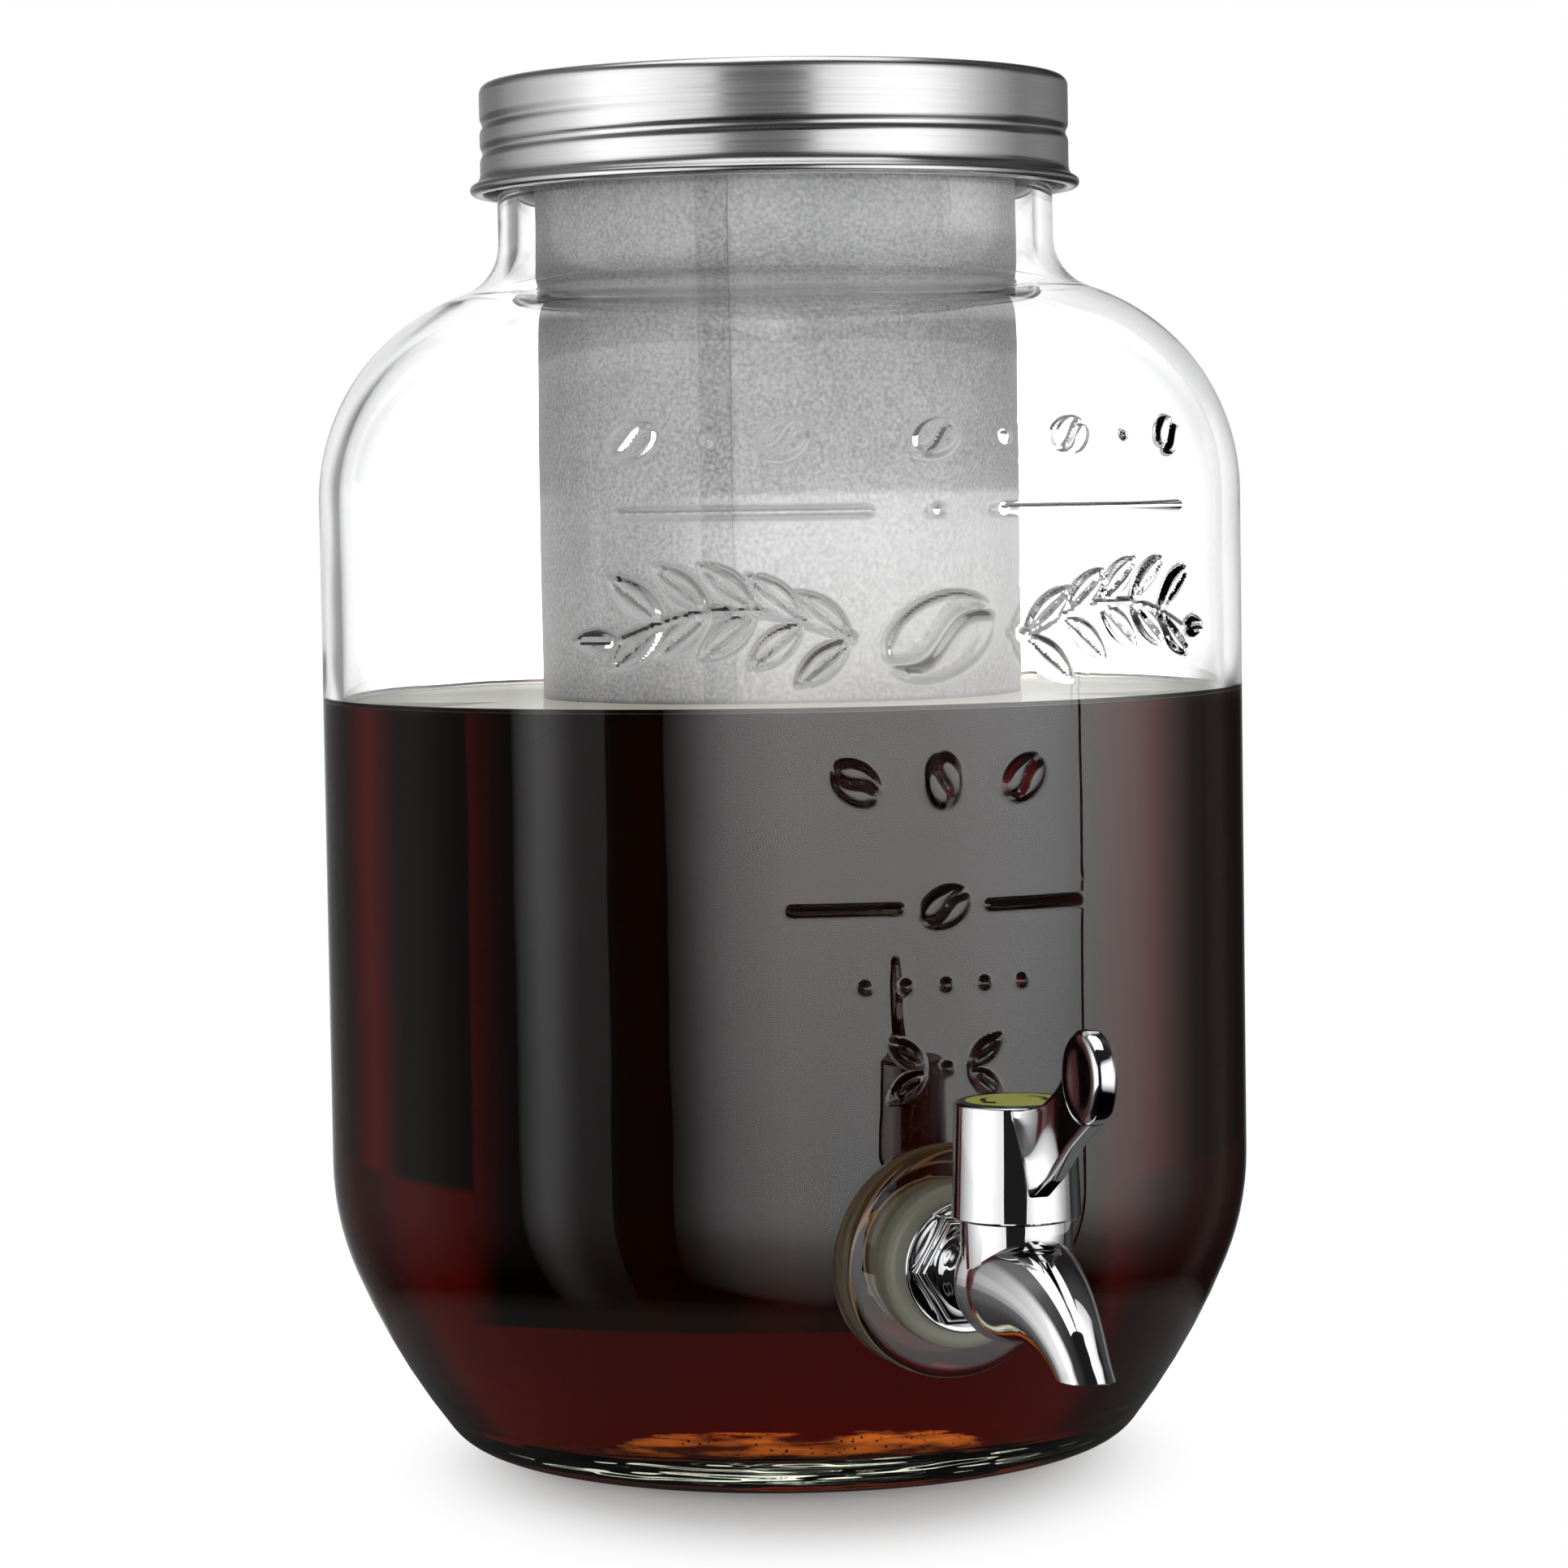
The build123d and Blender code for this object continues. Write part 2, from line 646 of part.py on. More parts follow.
# ---- valve: turning plug in a rubber sleeve, two O-rings and a pressed bush ----
with BuildPart() as valve_sleeve:
    with BuildSketch(barrel_plane(chamber_floor)):
        Circle(barrel_bore)
        Circle(barrel_bore - sleeve_wall, mode=Mode.SUBTRACT)
    extrude(amount=sleeve_height)
    with BuildSketch(tap_plane(barrel_reach)):
        Circle(port_radius)
    extrude(amount=barrel_radius, both=True, mode=Mode.SUBTRACT)

with BuildPart() as valve_plug:
    with BuildSketch(barrel_plane(plug_bottom)):
        Circle(plug_radius)
    extrude(amount=piston_bottom - plug_bottom)
    with BuildSketch(barrel_plane(piston_bottom)):
        Circle(piston_radius)
    extrude(amount=piston_top - piston_bottom)
    for middle in ring_heights:
        with BuildSketch(barrel_plane(middle - ring_groove_width / 2)):
            Circle(piston_radius)
            Circle(ring_groove_floor, mode=Mode.SUBTRACT)
        extrude(amount=ring_groove_width, mode=Mode.SUBTRACT)
    with BuildSketch(barrel_plane(piston_top)):
        Circle(stem_radius)
    extrude(amount=spigot_top - piston_top)
    with BuildSketch(barrel_plane(spigot_top)):
        Rectangle(drive_size, drive_size)
    extrude(amount=drive_height)
    with BuildSketch(barrel_plane(screw_seat - screw_length)):
        Circle(screw_radius)
    extrude(amount=screw_length, mode=Mode.SUBTRACT)
    with BuildSketch(Plane(origin=(0, -barrel_reach, tap_height), x_dir=(0, 1, 0), z_dir=(1, 0, 0))):
        Circle(port_radius)
    extrude(amount=barrel_radius, both=True, mode=Mode.SUBTRACT)

with BuildPart() as lower_o_ring:
    with Locations((0, -barrel_reach, ring_heights[0])):
        Torus(piston_radius - ring_section, ring_section)

with BuildPart() as upper_o_ring:
    with Locations((0, -barrel_reach, ring_heights[1])):
        Torus(piston_radius - ring_section, ring_section)

with BuildPart() as stem_bush:
    with BuildSketch(barrel_plane(bush_bottom)):
        Circle(barrel_bore)
        Circle(stem_radius + running_clearance, mode=Mode.SUBTRACT)
    extrude(amount=bush_height)

# ---- handle: skirted cap with a lever, fixed to the plug by a screw under an insert and a label ----
with BuildPart() as handle_cap:
    with BuildSketch(side_plane):
        with Locations((barrel_reach, 0)):
            with BuildLine():
                Polyline(
                    (barrel_reach, cap_bottom),
                    (barrel_reach + cap_bottom_radius, cap_bottom),
                    (barrel_reach + cap_top_radius, cap_top),
                    (barrel_reach, cap_top),
                    close=True,
                )
            make_face()
    revolve(axis=axis_line)
    fillet(handle_cap.faces().sort_by(Axis.Z)[-1].edges(), radius=cap_edge_round)
    with BuildSketch(side_plane):
        with BuildLine():
            under = Spline(
                (barrel_reach + fin_root, cap_bottom + fin_rise),
                (
                    barrel_reach + (fin_root + thumb_reach) / 2,
                    (cap_bottom + fin_rise + thumb_foot) / 2 - fin_sag,
                ),
                (barrel_reach + thumb_reach + thumb_radius / 3, thumb_foot),
            )
            over = ThreePointArc(
                (barrel_reach + thumb_reach - thumb_radius * 0.9, thumb_height),
                (barrel_reach + (fin_root + thumb_reach - thumb_radius) / 2, cap_top + fin_top_sag),
                (barrel_reach + fin_root, cap_top - fin_top_drop),
            )
            Polyline(under @ 1, (barrel_reach + thumb_reach, thumb_height), over @ 0)
            Line(over @ 1, under @ 0)
        make_face()
    extrude(amount=lever_thickness / 2, both=True)
    with BuildSketch(side_plane, mode=Mode.PRIVATE) as thumb_sketch:
        with Locations((barrel_reach + thumb_reach, thumb_height)):
            Circle(thumb_radius)
    with BuildPart(mode=Mode.PRIVATE) as thumb_disc:
        extrude(thumb_sketch.sketch, amount=thumb_thickness / 2, both=True)
        fillet(thumb_disc.edges().filter_by(GeomType.CIRCLE), radius=thumb_round)
    add(thumb_disc.part)
    with BuildSketch(barrel_plane(cap_bottom)):
        Circle(cap_cavity_radius)
    extrude(amount=cap_ceiling - cap_bottom, mode=Mode.SUBTRACT)
    with BuildSketch(barrel_plane(cap_ceiling)):
        Rectangle(drive_size, drive_size)
    extrude(amount=drive_top - cap_ceiling, mode=Mode.SUBTRACT)
    with BuildSketch(barrel_plane(drive_top)):
        Circle(screw_radius)
    extrude(amount=cap_web, mode=Mode.SUBTRACT)
    with BuildSketch(barrel_plane(screw_seat)):
        Circle(screw_head_radius + head_gap)
    extrude(amount=insert_bottom - screw_seat, mode=Mode.SUBTRACT)
    with BuildSketch(barrel_plane(insert_bottom)):
        Circle(insert_radius)
    extrude(amount=insert_thickness, mode=Mode.SUBTRACT)

with BuildPart() as handle_screw:
    with BuildSketch(barrel_plane(screw_seat - screw_length)):
        Circle(screw_radius)
    extrude(amount=screw_length)
    with BuildSketch(barrel_plane(screw_seat)):
        Circle(screw_head_radius)
    extrude(amount=screw_head_height)

with BuildPart() as cap_insert:
    with BuildSketch(barrel_plane(insert_bottom)):
        Circle(insert_radius)
    extrude(amount=insert_thickness)
    with BuildSketch(barrel_plane(insert_top - label_thickness)):
        Circle(insert_radius - label_rim)
    extrude(amount=label_thickness, mode=Mode.SUBTRACT)

with BuildPart() as handle_label:
    with BuildSketch(barrel_plane(insert_top - label_thickness)):
        Circle(insert_radius - label_rim)
    extrude(amount=label_thickness)

pieces = {
    "glass_front": glass_front,
    "glass_back": glass_back,
    "glass_bottom": glass_bottom,
    "lid_shell": lid_shell,
    "lid_liner": lid_liner,
    "lid_gasket": lid_gasket,
    "filter_collar": filter_collar,
    "filter_mesh_sleeve": filter_mesh_sleeve,
    "filter_seam_strip": filter_seam_strip,
    "filter_bottom_band": filter_bottom_band,
    "filter_bottom_mesh": filter_bottom_mesh,
    "outer_washer": outer_washer,
    "inner_washer": inner_washer,
    "nut_washer": nut_washer,
    "lock_nut": lock_nut,
    "tap_body": tap_body,
    "valve_sleeve": valve_sleeve,
    "valve_plug": valve_plug,
    "lower_o_ring": lower_o_ring,
    "upper_o_ring": upper_o_ring,
    "stem_bush": stem_bush,
    "handle_cap": handle_cap,
    "handle_screw": handle_screw,
    "cap_insert": cap_insert,
    "handle_label": handle_label,
}
os.makedirs("parts", exist_ok=True)
for name, piece in pieces.items():
    piece.part.label = name
    export_step(piece.part, f"parts/{name}.step")
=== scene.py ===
from math import atan2, cos, pi, radians, sin

import bmesh
import bpy
import numpy as np
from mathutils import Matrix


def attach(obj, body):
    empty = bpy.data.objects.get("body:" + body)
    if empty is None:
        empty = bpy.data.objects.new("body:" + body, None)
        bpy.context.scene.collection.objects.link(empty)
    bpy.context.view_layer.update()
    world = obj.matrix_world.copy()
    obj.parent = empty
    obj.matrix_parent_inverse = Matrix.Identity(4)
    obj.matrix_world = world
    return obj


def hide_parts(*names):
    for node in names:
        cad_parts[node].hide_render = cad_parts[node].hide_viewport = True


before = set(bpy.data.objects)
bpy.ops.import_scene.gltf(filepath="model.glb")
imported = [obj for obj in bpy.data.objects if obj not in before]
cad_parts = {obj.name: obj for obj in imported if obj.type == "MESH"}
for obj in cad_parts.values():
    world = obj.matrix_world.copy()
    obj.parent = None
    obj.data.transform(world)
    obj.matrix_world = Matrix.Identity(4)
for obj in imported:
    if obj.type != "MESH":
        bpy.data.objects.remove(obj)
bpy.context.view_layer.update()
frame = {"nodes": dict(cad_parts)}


# ---- Glass of the jar ----
# A pressed and blown gallon jar of clear soda glass, thick in its foot, with a screw thread round the neck and a flat
# boss for the tap. The garland on its front is raised by the mould, so it is part of the skin.
def pick(piece):
    """Leaves one piece selected and active."""
    bpy.ops.object.select_all(action="DESELECT")
    piece.select_set(True)
    bpy.context.view_layer.objects.active = piece


def arc(outline, heading, radius, turn, count):
    """Continues an outline, from a heading in degrees, along an arc that turns left, or right if turn is negative."""
    side = 90 if turn > 0 else -90
    x, z = outline[-1]
    centre_x = x + radius * cos(radians(heading + side))
    centre_z = z + radius * sin(radians(heading + side))
    for number in range(1, count + 1):
        angle = radians(heading - side + turn * number / count)
        outline.append((centre_x + radius * cos(angle), centre_z + radius * sin(angle)))


def rise(outline, top, count):
    """Continues an outline straight up or down to a height, in equal steps."""
    x, z = outline[-1]
    for number in range(1, count + 1):
        outline.append((x, z + (top - z) * number / count))


def turned(name, outline, steps, ring=False):
    """A turned shape: one ring is drawn and extruded along an outline of (radius, height) points. ring closes it."""
    bpy.ops.object.select_all(action="DESELECT")
    radius, height = outline[0]
    bpy.ops.mesh.primitive_circle_add(vertices=steps, radius=radius, location=(0, 0, height))
    piece = bpy.context.object
    piece.name = name
    bpy.ops.object.mode_set(mode="EDIT")
    for next_radius, next_height in outline[1:]:
        bpy.ops.mesh.extrude_region_move(TRANSFORM_OT_translate={"value": (0, 0, next_height - height)})
        share = next_radius / radius
        bpy.ops.transform.resize(value=(share, share, 1), center_override=(0, 0, next_height))
        radius, height = next_radius, next_height
    bpy.ops.mesh.select_all(action="SELECT")
    if ring:
        bpy.ops.mesh.remove_doubles(threshold=0.000002)
    else:
        bpy.ops.mesh.fill_holes(sides=0)
    bpy.ops.mesh.normals_make_consistent(inside=False)
    bpy.ops.object.mode_set(mode="OBJECT")
    bpy.ops.object.transform_apply(location=True, rotation=True, scale=True)
    return piece


def place(piece, location, rotation=(0, 0, 0)):
    """Moves and turns a piece, and leaves that in its mesh."""
    pick(piece)
    piece.location = location
    piece.rotation_euler = rotation
    bpy.ops.object.transform_apply(location=True, rotation=True, scale=True)


def lay_along_tap(piece):
    """Lays a turned piece along the tap's shank, its foot at the jar's axis."""
    place(piece, (0, 0, tap_height), (pi / 2, 0, 0))


def combine(piece, tool, operation):
    """Joins or cuts a piece with a tool shape, which is used up."""
    pick(piece)
    cut = piece.modifiers.new("cut", "BOOLEAN")
    cut.operation = operation
    cut.solver = "EXACT"
    cut.object = tool
    bpy.ops.object.modifier_apply(modifier=cut.name)
    bpy.data.objects.remove(tool, do_unlink=True)


def rounded(piece, degrees_apart):
    """Shades a piece smooth across every edge that bends less than an angle."""
    pick(piece)
    bpy.ops.object.shade_smooth_by_angle(angle=radians(degrees_apart))


def corners(piece):
    """The places of a piece's vertices, one in each row."""
    spots = np.empty(len(piece.data.vertices) * 3)
    piece.data.vertices.foreach_get("co", spots)
    return spots.reshape(-1, 3)


def put_corners(piece, spots):
    """Moves a piece's vertices to new places."""
    piece.data.vertices.foreach_set("co", spots.ravel())
    piece.data.update()


body_radius = 0.0834
wall = 0.0035
belly_radius, belly_turn = 0.126, 15.2  # the curves from the foot up to the straight wall, turns in degrees
flank_radius, flank_turn = 0.050, 22.3
flank_top = 0.0519
inner_heel_radius, inner_heel_turn = 0.006, 55.08
inner_belly_turn = 90 - flank_turn - inner_heel_turn
shoulder_base = 0.1715
shoulder_radius, shoulder_turn = 0.039, 71.19
neck_fillet = 0.010
lip_radius = 0.0012
rim_height = 0.2428
jar_steps = 192
fill_level = 0.1358
meniscus = 0.0008
skin = [(0.002, 0.0035), (0.020, 0.0029), (0.035, 0.0015), (0.04695, 0), (0.05495, 0)]
arc(skin, 0, 0.0102, 90 - flank_turn - belly_turn, 8)
arc(skin, 90 - flank_turn - belly_turn, belly_radius, belly_turn, 5)
arc(skin, 90 - flank_turn, flank_radius, flank_turn, 7)
rise(skin, shoulder_base, 44)
arc(skin, 90, shoulder_radius, shoulder_turn, 24)
arc(skin, 90 + shoulder_turn, neck_fillet, -shoulder_turn, 10)
rise(skin, 0.2300, 4)
rise(skin, rim_height - lip_radius, 26)
arc(skin, 90, lip_radius, 90, 4)
skin.append((0.0479, rim_height))
arc(skin, 180, lip_radius, 90, 4)
rise(skin, skin[-1][1] - 0.0237, 2)
arc(skin, 270, neck_fillet + wall, shoulder_turn, 10)
arc(skin, 270 + shoulder_turn, shoulder_radius - wall, -shoulder_turn, 16)
rise(skin, fill_level + meniscus, 3)
rise(skin, flank_top, 6)
arc(skin, 270, flank_radius - wall, -flank_turn, 6)
arc(skin, 270 - flank_turn, belly_radius - wall, -inner_belly_turn, 4)
arc(skin, 180 + inner_heel_turn, inner_heel_radius, -inner_heel_turn, 6)
skin += [(0.040, 0.008), (0.020, 0.008), (0.002, 0.008)]
jar = turned("jar_glass", skin, jar_steps)

# The boss stands on the wall, and the seat for the inner washer is flat.
tap_height = 0.044
boss_face = 0.0867
inner_seat = 0.0765
boss_outline = [(0.002, 0.078), (0.007, 0.078), (0.012, 0.078), (0.016, 0.078), (0.0197, 0.078), (0.0197, 0.0847)]
arc(boss_outline, 90, 0.002, 90, 6)
boss_outline.append((0.002, boss_face))
boss = turned("boss", boss_outline, 96)
lay_along_tap(boss)
for corner in boss.data.vertices:
    x, y, z = corner.co
    if y > -0.0785:
        flank = np.interp(z, [0.0200, 0.0329, 0.0519, 0.0700], [0.0738, 0.0797, 0.0834, 0.0834])
        corner.co.y = -((flank - 0.0017) ** 2 - x * x) ** 0.5
combine(jar, boss, "UNION")
for name, radius, near, far, operation in (
    ("recess", 0.0160, 0.0600, inner_seat, "DIFFERENCE"),
    ("seat", 0.0159, inner_seat - 0.0001, 0.0830, "UNION"),
    ("hole", 0.0085, 0.0600, 0.0900, "DIFFERENCE"),
):
    tool = turned(name, [(radius, near), (radius, far)], 64)
    lay_along_tap(tool)
    combine(jar, tool, operation)

# The raised motifs, each (kind, distance along the glass, height, turn in degrees, length, width).
garland_height = 0.148
garland_start = 0.015
garland_length = 0.039
garland_arch = 0.005
leaves = 5
stem_pieces = 8
leaf_lean = 38
bean_row_height, dot_row_height, sprig_height = 0.181, 0.090, 0.076
upper_rule_height, middle_row_height, lower_rule_height = 0.169, 0.124, 0.103
small_bean = (0.010, 0.007)
small_leaf = (0.009, 0.004)
rule_width = 0.002
dot_width = 0.0026
raised = [("bean", 0, garland_height, 24, 0.021, 0.014)]
for side in (-1, 1):
    for number in range(leaves):
        grown = number * garland_length / leaves
        lift = garland_arch * sin(pi * grown / garland_length)
        for lean in (leaf_lean, -leaf_lean):
            reach = garland_start + grown + 0.0065 * cos(radians(lean))
            climb = lift + 0.0065 * sin(radians(lean))
            raised.append(("leaf", side * reach, garland_height + climb, side * lean, 0.013, 0.0054))
    raised.append(("leaf", side * 0.0585, garland_height, 0, *small_leaf))
    step = garland_length / stem_pieces
    for number in range(stem_pieces):
        low = garland_arch * sin(pi * number / stem_pieces)
        high = garland_arch * sin(pi * (number + 1) / stem_pieces)
        slope = side * np.degrees(atan2(high - low, step))
        along = side * (garland_start + (number + 0.5) * step)
        raised.append(("rule", along, garland_height + (low + high) / 2, slope, step, rule_width))
    raised.append(("bean", side * 0.015, middle_row_height, side * 38, *small_bean))
    for lean in (leaf_lean, -leaf_lean):
        climb = 0.0045 * sin(radians(lean))
        raised.append(("leaf", side * 0.007, sprig_height + climb, side * lean, *small_leaf))
    raised.append(("rule", side * 0.033, upper_rule_height, 0, 0.042, rule_width))
    raised.append(("rule", side * 0.017, lower_rule_height, 0, 0.018, rule_width))
for number in range(9):
    kind, width = ("bean", small_bean[1]) if number % 2 == 0 else ("dot", dot_width)
    raised.append((kind, 0.052 * (number / 4 - 1), bean_row_height, 24, small_bean[0], width))
raised += [("bean", 0, middle_row_height, 90, *small_bean), ("bean", 0, lower_rule_height, 24, *small_bean)]
raised += [("dot", 0, height, 0, 0, dot_width) for height in (upper_rule_height, sprig_height)]
raised += [("dot", 0.007 * (number - 2), dot_row_height, 0, 0, dot_width) for number in range(5)]
relief_height = 0.0009


def swell(depth, edge):
    """A soft swelling: 0 outside a motif, 1 where it is deeper than its edge."""
    share = np.clip(depth / edge, 0, 1)
    return share * share * (3 - 2 * share)


def relief(along, height, margin=0.0):
    """How far the mould raises the glass at points of the front."""
    lifted = np.zeros_like(along)
    for kind, middle, level, turn, length, width in raised:
        near = np.abs(along - middle) + np.abs(height - level) < length + width + margin
        if not near.any():
            continue
        u = (along[near] - middle) * cos(radians(turn)) + (height[near] - level) * sin(radians(turn))
        v = (height[near] - level) * cos(radians(turn)) - (along[near] - middle) * sin(radians(turn))
        if kind == "leaf":
            half = width / 2 * (1 - np.clip(np.abs(2 * u / length), 0, 1) ** 2)
            depth = np.where(np.abs(u) < length / 2, half - np.abs(v), -0.01)
            rib = 0.6 * np.exp(-((v / 0.00035) ** 2)) * (np.abs(u) < 0.42 * length)
        elif kind == "bean":
            depth = (1 - np.hypot(2 * u / length, 2 * v / width)) * width / 2
            crease = width / 7 * np.sin(u / length * 2 * pi)
            rib = 0.95 * np.exp(-(((v - crease) / (width * 0.075)) ** 2))
        else:
            run = np.clip(u, -length / 2, length / 2) if kind == "rule" else 0
            depth = width / 2 - np.hypot(u - run, v)
            rib = 0
        lifted[near] = np.maximum(lifted[near], swell(depth + margin, 0.0011) * (1 - rib))
    return lifted


# The faces under and beside the motifs are divided finely before the glass is raised there.
pick(jar)
bpy.ops.object.mode_set(mode="EDIT")
bpy.ops.mesh.select_all(action="DESELECT")
bpy.ops.mesh.select_mode(type="FACE")
panel = bmesh.from_edit_mesh(jar.data)
for face in panel.faces:
    centre = face.calc_center_median()
    angle = atan2(centre.x, -centre.y)
    outside = face.normal.x * centre.x + face.normal.y * centre.y > 0
    if outside and abs(angle) < radians(46) and 0.068 < centre.z < 0.192:
        spots = np.array([(i, k) for i in (-1, 0, 1) for k in (-1, 0, 1)]) * 0.0013
        reach = relief(body_radius * angle + spots[:, 0], centre.z + spots[:, 1], 0.0008)
        face.select = bool(reach.max() > 0)
bmesh.update_edit_mesh(jar.data)
bpy.ops.mesh.subdivide(number_cuts=5)
bpy.ops.mesh.select_mode(type="VERT")
bpy.ops.object.mode_set(mode="OBJECT")

spots = corners(jar)
angle = np.arctan2(spots[:, 0], -spots[:, 1])
radius = np.hypot(spots[:, 0], spots[:, 1])
height = spots[:, 2]
climb = np.clip(height - shoulder_base, 0, 0.022)
true_radius = body_radius - shoulder_radius + np.sqrt(shoulder_radius**2 - climb**2)
front = (np.abs(angle) < radians(47)) & (radius > true_radius - 0.0007) & (height > 0.066) & (height < 0.1935)
lift = relief(body_radius * angle, height) * relief_height
outward = true_radius + lift * true_radius / body_radius
spots[front, 0] = (outward * np.sin(angle))[front]
spots[front, 1] = (-outward * np.cos(angle))[front]
spots[front, 2] += (lift * climb / shoulder_radius)[front]
put_corners(jar, spots)
thread_pitch = 0.005


def roll_thread(piece, inside, band, start, foot, end, fades, half, height):
    """Raises a screw thread on a piece, or sinks it if height is negative. It moves only what lies beyond the radius
    inside and in a band of heights. start and end are in turns, foot is where it starts, fades are the turns in which
    it grows and dies away, and half is half its width."""
    spots = corners(piece)
    turns = (np.arctan2(spots[:, 1], spots[:, 0]) / (2 * pi) - start) % 1
    radius = np.hypot(spots[:, 0], spots[:, 1])
    ridge = np.zeros(len(spots))
    for lap in (0, 1):
        travel = turns + lap
        away = spots[:, 2] - (foot + thread_pitch * travel)
        fade = np.clip(travel / fades[0], 0, 1) * np.clip((end - travel) / fades[1], 0, 1)
        ridge = np.maximum(ridge, fade * np.where(np.abs(away) < half, np.cos(pi * away / (2 * half)) ** 2, 0))
    moved = (radius > inside) & (spots[:, 2] > band[0]) & (spots[:, 2] < band[1])
    grown = 1 + height * ridge / np.maximum(radius, 0.01)
    spots[moved, 0] *= grown[moved]
    spots[moved, 1] *= grown[moved]
    put_corners(piece, spots)


roll_thread(jar, 0.0500, (0.2301, 0.2418), 0, 0.2333, 1.4, (0.07, 0.07), 0.0016, 0.0014)
rounded(jar, 40)


def material_for(name, **sockets):
    """A material with one Principled shader, whose sockets are set by their names."""
    material = bpy.data.materials.new(name)
    material.use_nodes = True
    shader = material.node_tree.nodes["Principled BSDF"]
    for socket, value in sockets.items():
        shader.inputs[socket.replace("_", " ")].default_value = value
    return material, shader


def add_node(owner, kind, inputs=None, **settings):
    """Adds a shader node. inputs gives, for each socket, a value or the socket that feeds it."""
    node = owner.node_tree.nodes.new(kind)
    for setting, value in settings.items():
        setattr(node, setting, value)
    for socket, value in (inputs or {}).items():
        if isinstance(value, bpy.types.NodeSocket):
            owner.node_tree.links.new(value, node.inputs[socket])
        else:
            node.inputs[socket].default_value = value
    return node


def link(owner, source, target):
    """Feeds one socket from another."""
    owner.node_tree.links.new(source, target)


def object_place(material):
    """Where a point lies on its own piece, which stays the same when the piece moves."""
    return add_node(material, "ShaderNodeTexCoord").outputs["Object"]


def parts_of(owner, vector):
    """The X, Y and Z of a vector."""
    return add_node(owner, "ShaderNodeSeparateXYZ", {"Vector": vector}).outputs


def reckon(owner, operation, *values):
    """The outcome of a sum on numbers or sockets."""
    return add_node(owner, "ShaderNodeMath", dict(enumerate(values)), operation=operation).outputs["Value"]


def remap(owner, value, start, end, low=0.0, high=1.0, **settings):
    """Carries a value from the range start to end over to the range low to high, and holds it in that."""
    ends = {"Value": value, "From Min": start, "From Max": end, "To Min": low, "To Max": high}
    return add_node(owner, "ShaderNodeMapRange", ends, **settings).outputs["Result"]


def noise(owner, vector, size, detail, stretch=None, roughness=0.5):
    """A random pattern from 0 to 1. stretch makes it finer along each axis by a factor."""
    if stretch:
        vector = add_node(owner, "ShaderNodeMapping", {"Vector": vector, "Scale": stretch}).outputs["Vector"]
    inputs = {"Vector": vector, "Scale": size, "Detail": detail, "Roughness": roughness}
    return add_node(owner, "ShaderNodeTexNoise", inputs).outputs["Fac"]


def blend(owner, share, first, second):
    """A colour between two colours, each given as (red, green, blue) or as a socket."""
    first, second = ((*colour, 1) if isinstance(colour, tuple) else colour for colour in (first, second))
    return add_node(owner, "ShaderNodeMix", {0: share, 6: first, 7: second}, data_type="RGBA").outputs[2]


def ramp(owner, share, stops):
    """A brightness that follows stops of (share, brightness)."""
    band = add_node(owner, "ShaderNodeValToRGB", {"Fac": share})
    elements = band.color_ramp.elements
    elements[0].position, elements[1].position = stops[0][0], stops[-1][0]
    for position, _ in stops[1:-1]:
        elements.new(position)
    for element, (_, value) in zip(elements, stops):
        element.color = (value, value, value, 1)
    return band.outputs["Color"]


def roughen(owner, shader, height, strength, distance, beneath=None):
    """Raises a shader's surface by a pattern, on top of the bump beneath it. Returns the bump."""
    inputs = {"Strength": strength, "Distance": distance, "Height": height}
    if beneath is not None:
        inputs["Normal"] = beneath
    bump = add_node(owner, "ShaderNodeBump", inputs).outputs["Normal"]
    link(owner, bump, shader.inputs["Normal"])
    return bump


def mix_shaders(owner, share, first, second):
    """A shader that goes over from one to another as share grows."""
    return add_node(owner, "ShaderNodeMixShader", {0: share, 1: first.outputs[0], 2: second.outputs[0]})


def surface(material, shader):
    """Makes a shader the surface of its material."""
    link(material, shader.outputs[0], material.node_tree.nodes["Material Output"].inputs["Surface"])


def let_lamps_through(material, shader, colour):
    """Gives a glass its shader, but lets the soft boxes' light pass straight through to what is inside."""
    rays = add_node(material, "ShaderNodeLightPath")
    unbent = add_node(material, "ShaderNodeBsdfTransparent", {"Color": colour})
    surface(material, mix_shaders(material, rays.outputs["Is Shadow Ray"], shader, unbent))


def wear(material, piece):
    """Puts a material on a piece in place of what it had."""
    piece.data.materials.clear()
    piece.data.materials.append(material)


glass_tint = (0.995, 1.0, 0.997)
clear_glass, shader = material_for("clear_glass", Roughness=0, IOR=1.5, Transmission_Weight=1)
where = object_place(clear_glass)
height = parts_of(clear_glass, where)["Z"]
waves = roughen(clear_glass, shader, noise(clear_glass, where, 38.0, 1.0), 0.35, 0.0003)
# The thick foot is streaked, and greener than the wall.
streaks = noise(clear_glass, where, 1.0, 2.0, stretch=(24, 24, 330))
in_foot = remap(clear_glass, height, 0.008, 0.013, 0.75, 0.0)
roughen(clear_glass, shader, streaks, in_foot, 0.0009, beneath=waves)
thick = remap(clear_glass, height, 0.013, 0.007)
link(clear_glass, blend(clear_glass, thick, glass_tint, (0.70, 0.78, 0.66)), shader.inputs["Base Color"])
# The bend under the neck spreads the light, which leaves a dark wavy band on the filter behind it.
level = reckon(clear_glass, "MULTIPLY_ADD", noise(clear_glass, where, 16.0, 2.0), 0.006, height)
up = remap(clear_glass, level, 0.200, 0.225)
let_light, stop_light = 0.965, 0.03
throat = ramp(clear_glass, up, [
    (0, let_light), (0.30, let_light), (0.38, stop_light), (0.54, stop_light), (0.62, let_light), (1, let_light),
])
let_lamps_through(clear_glass, shader, throat)
wear(clear_glass, jar)

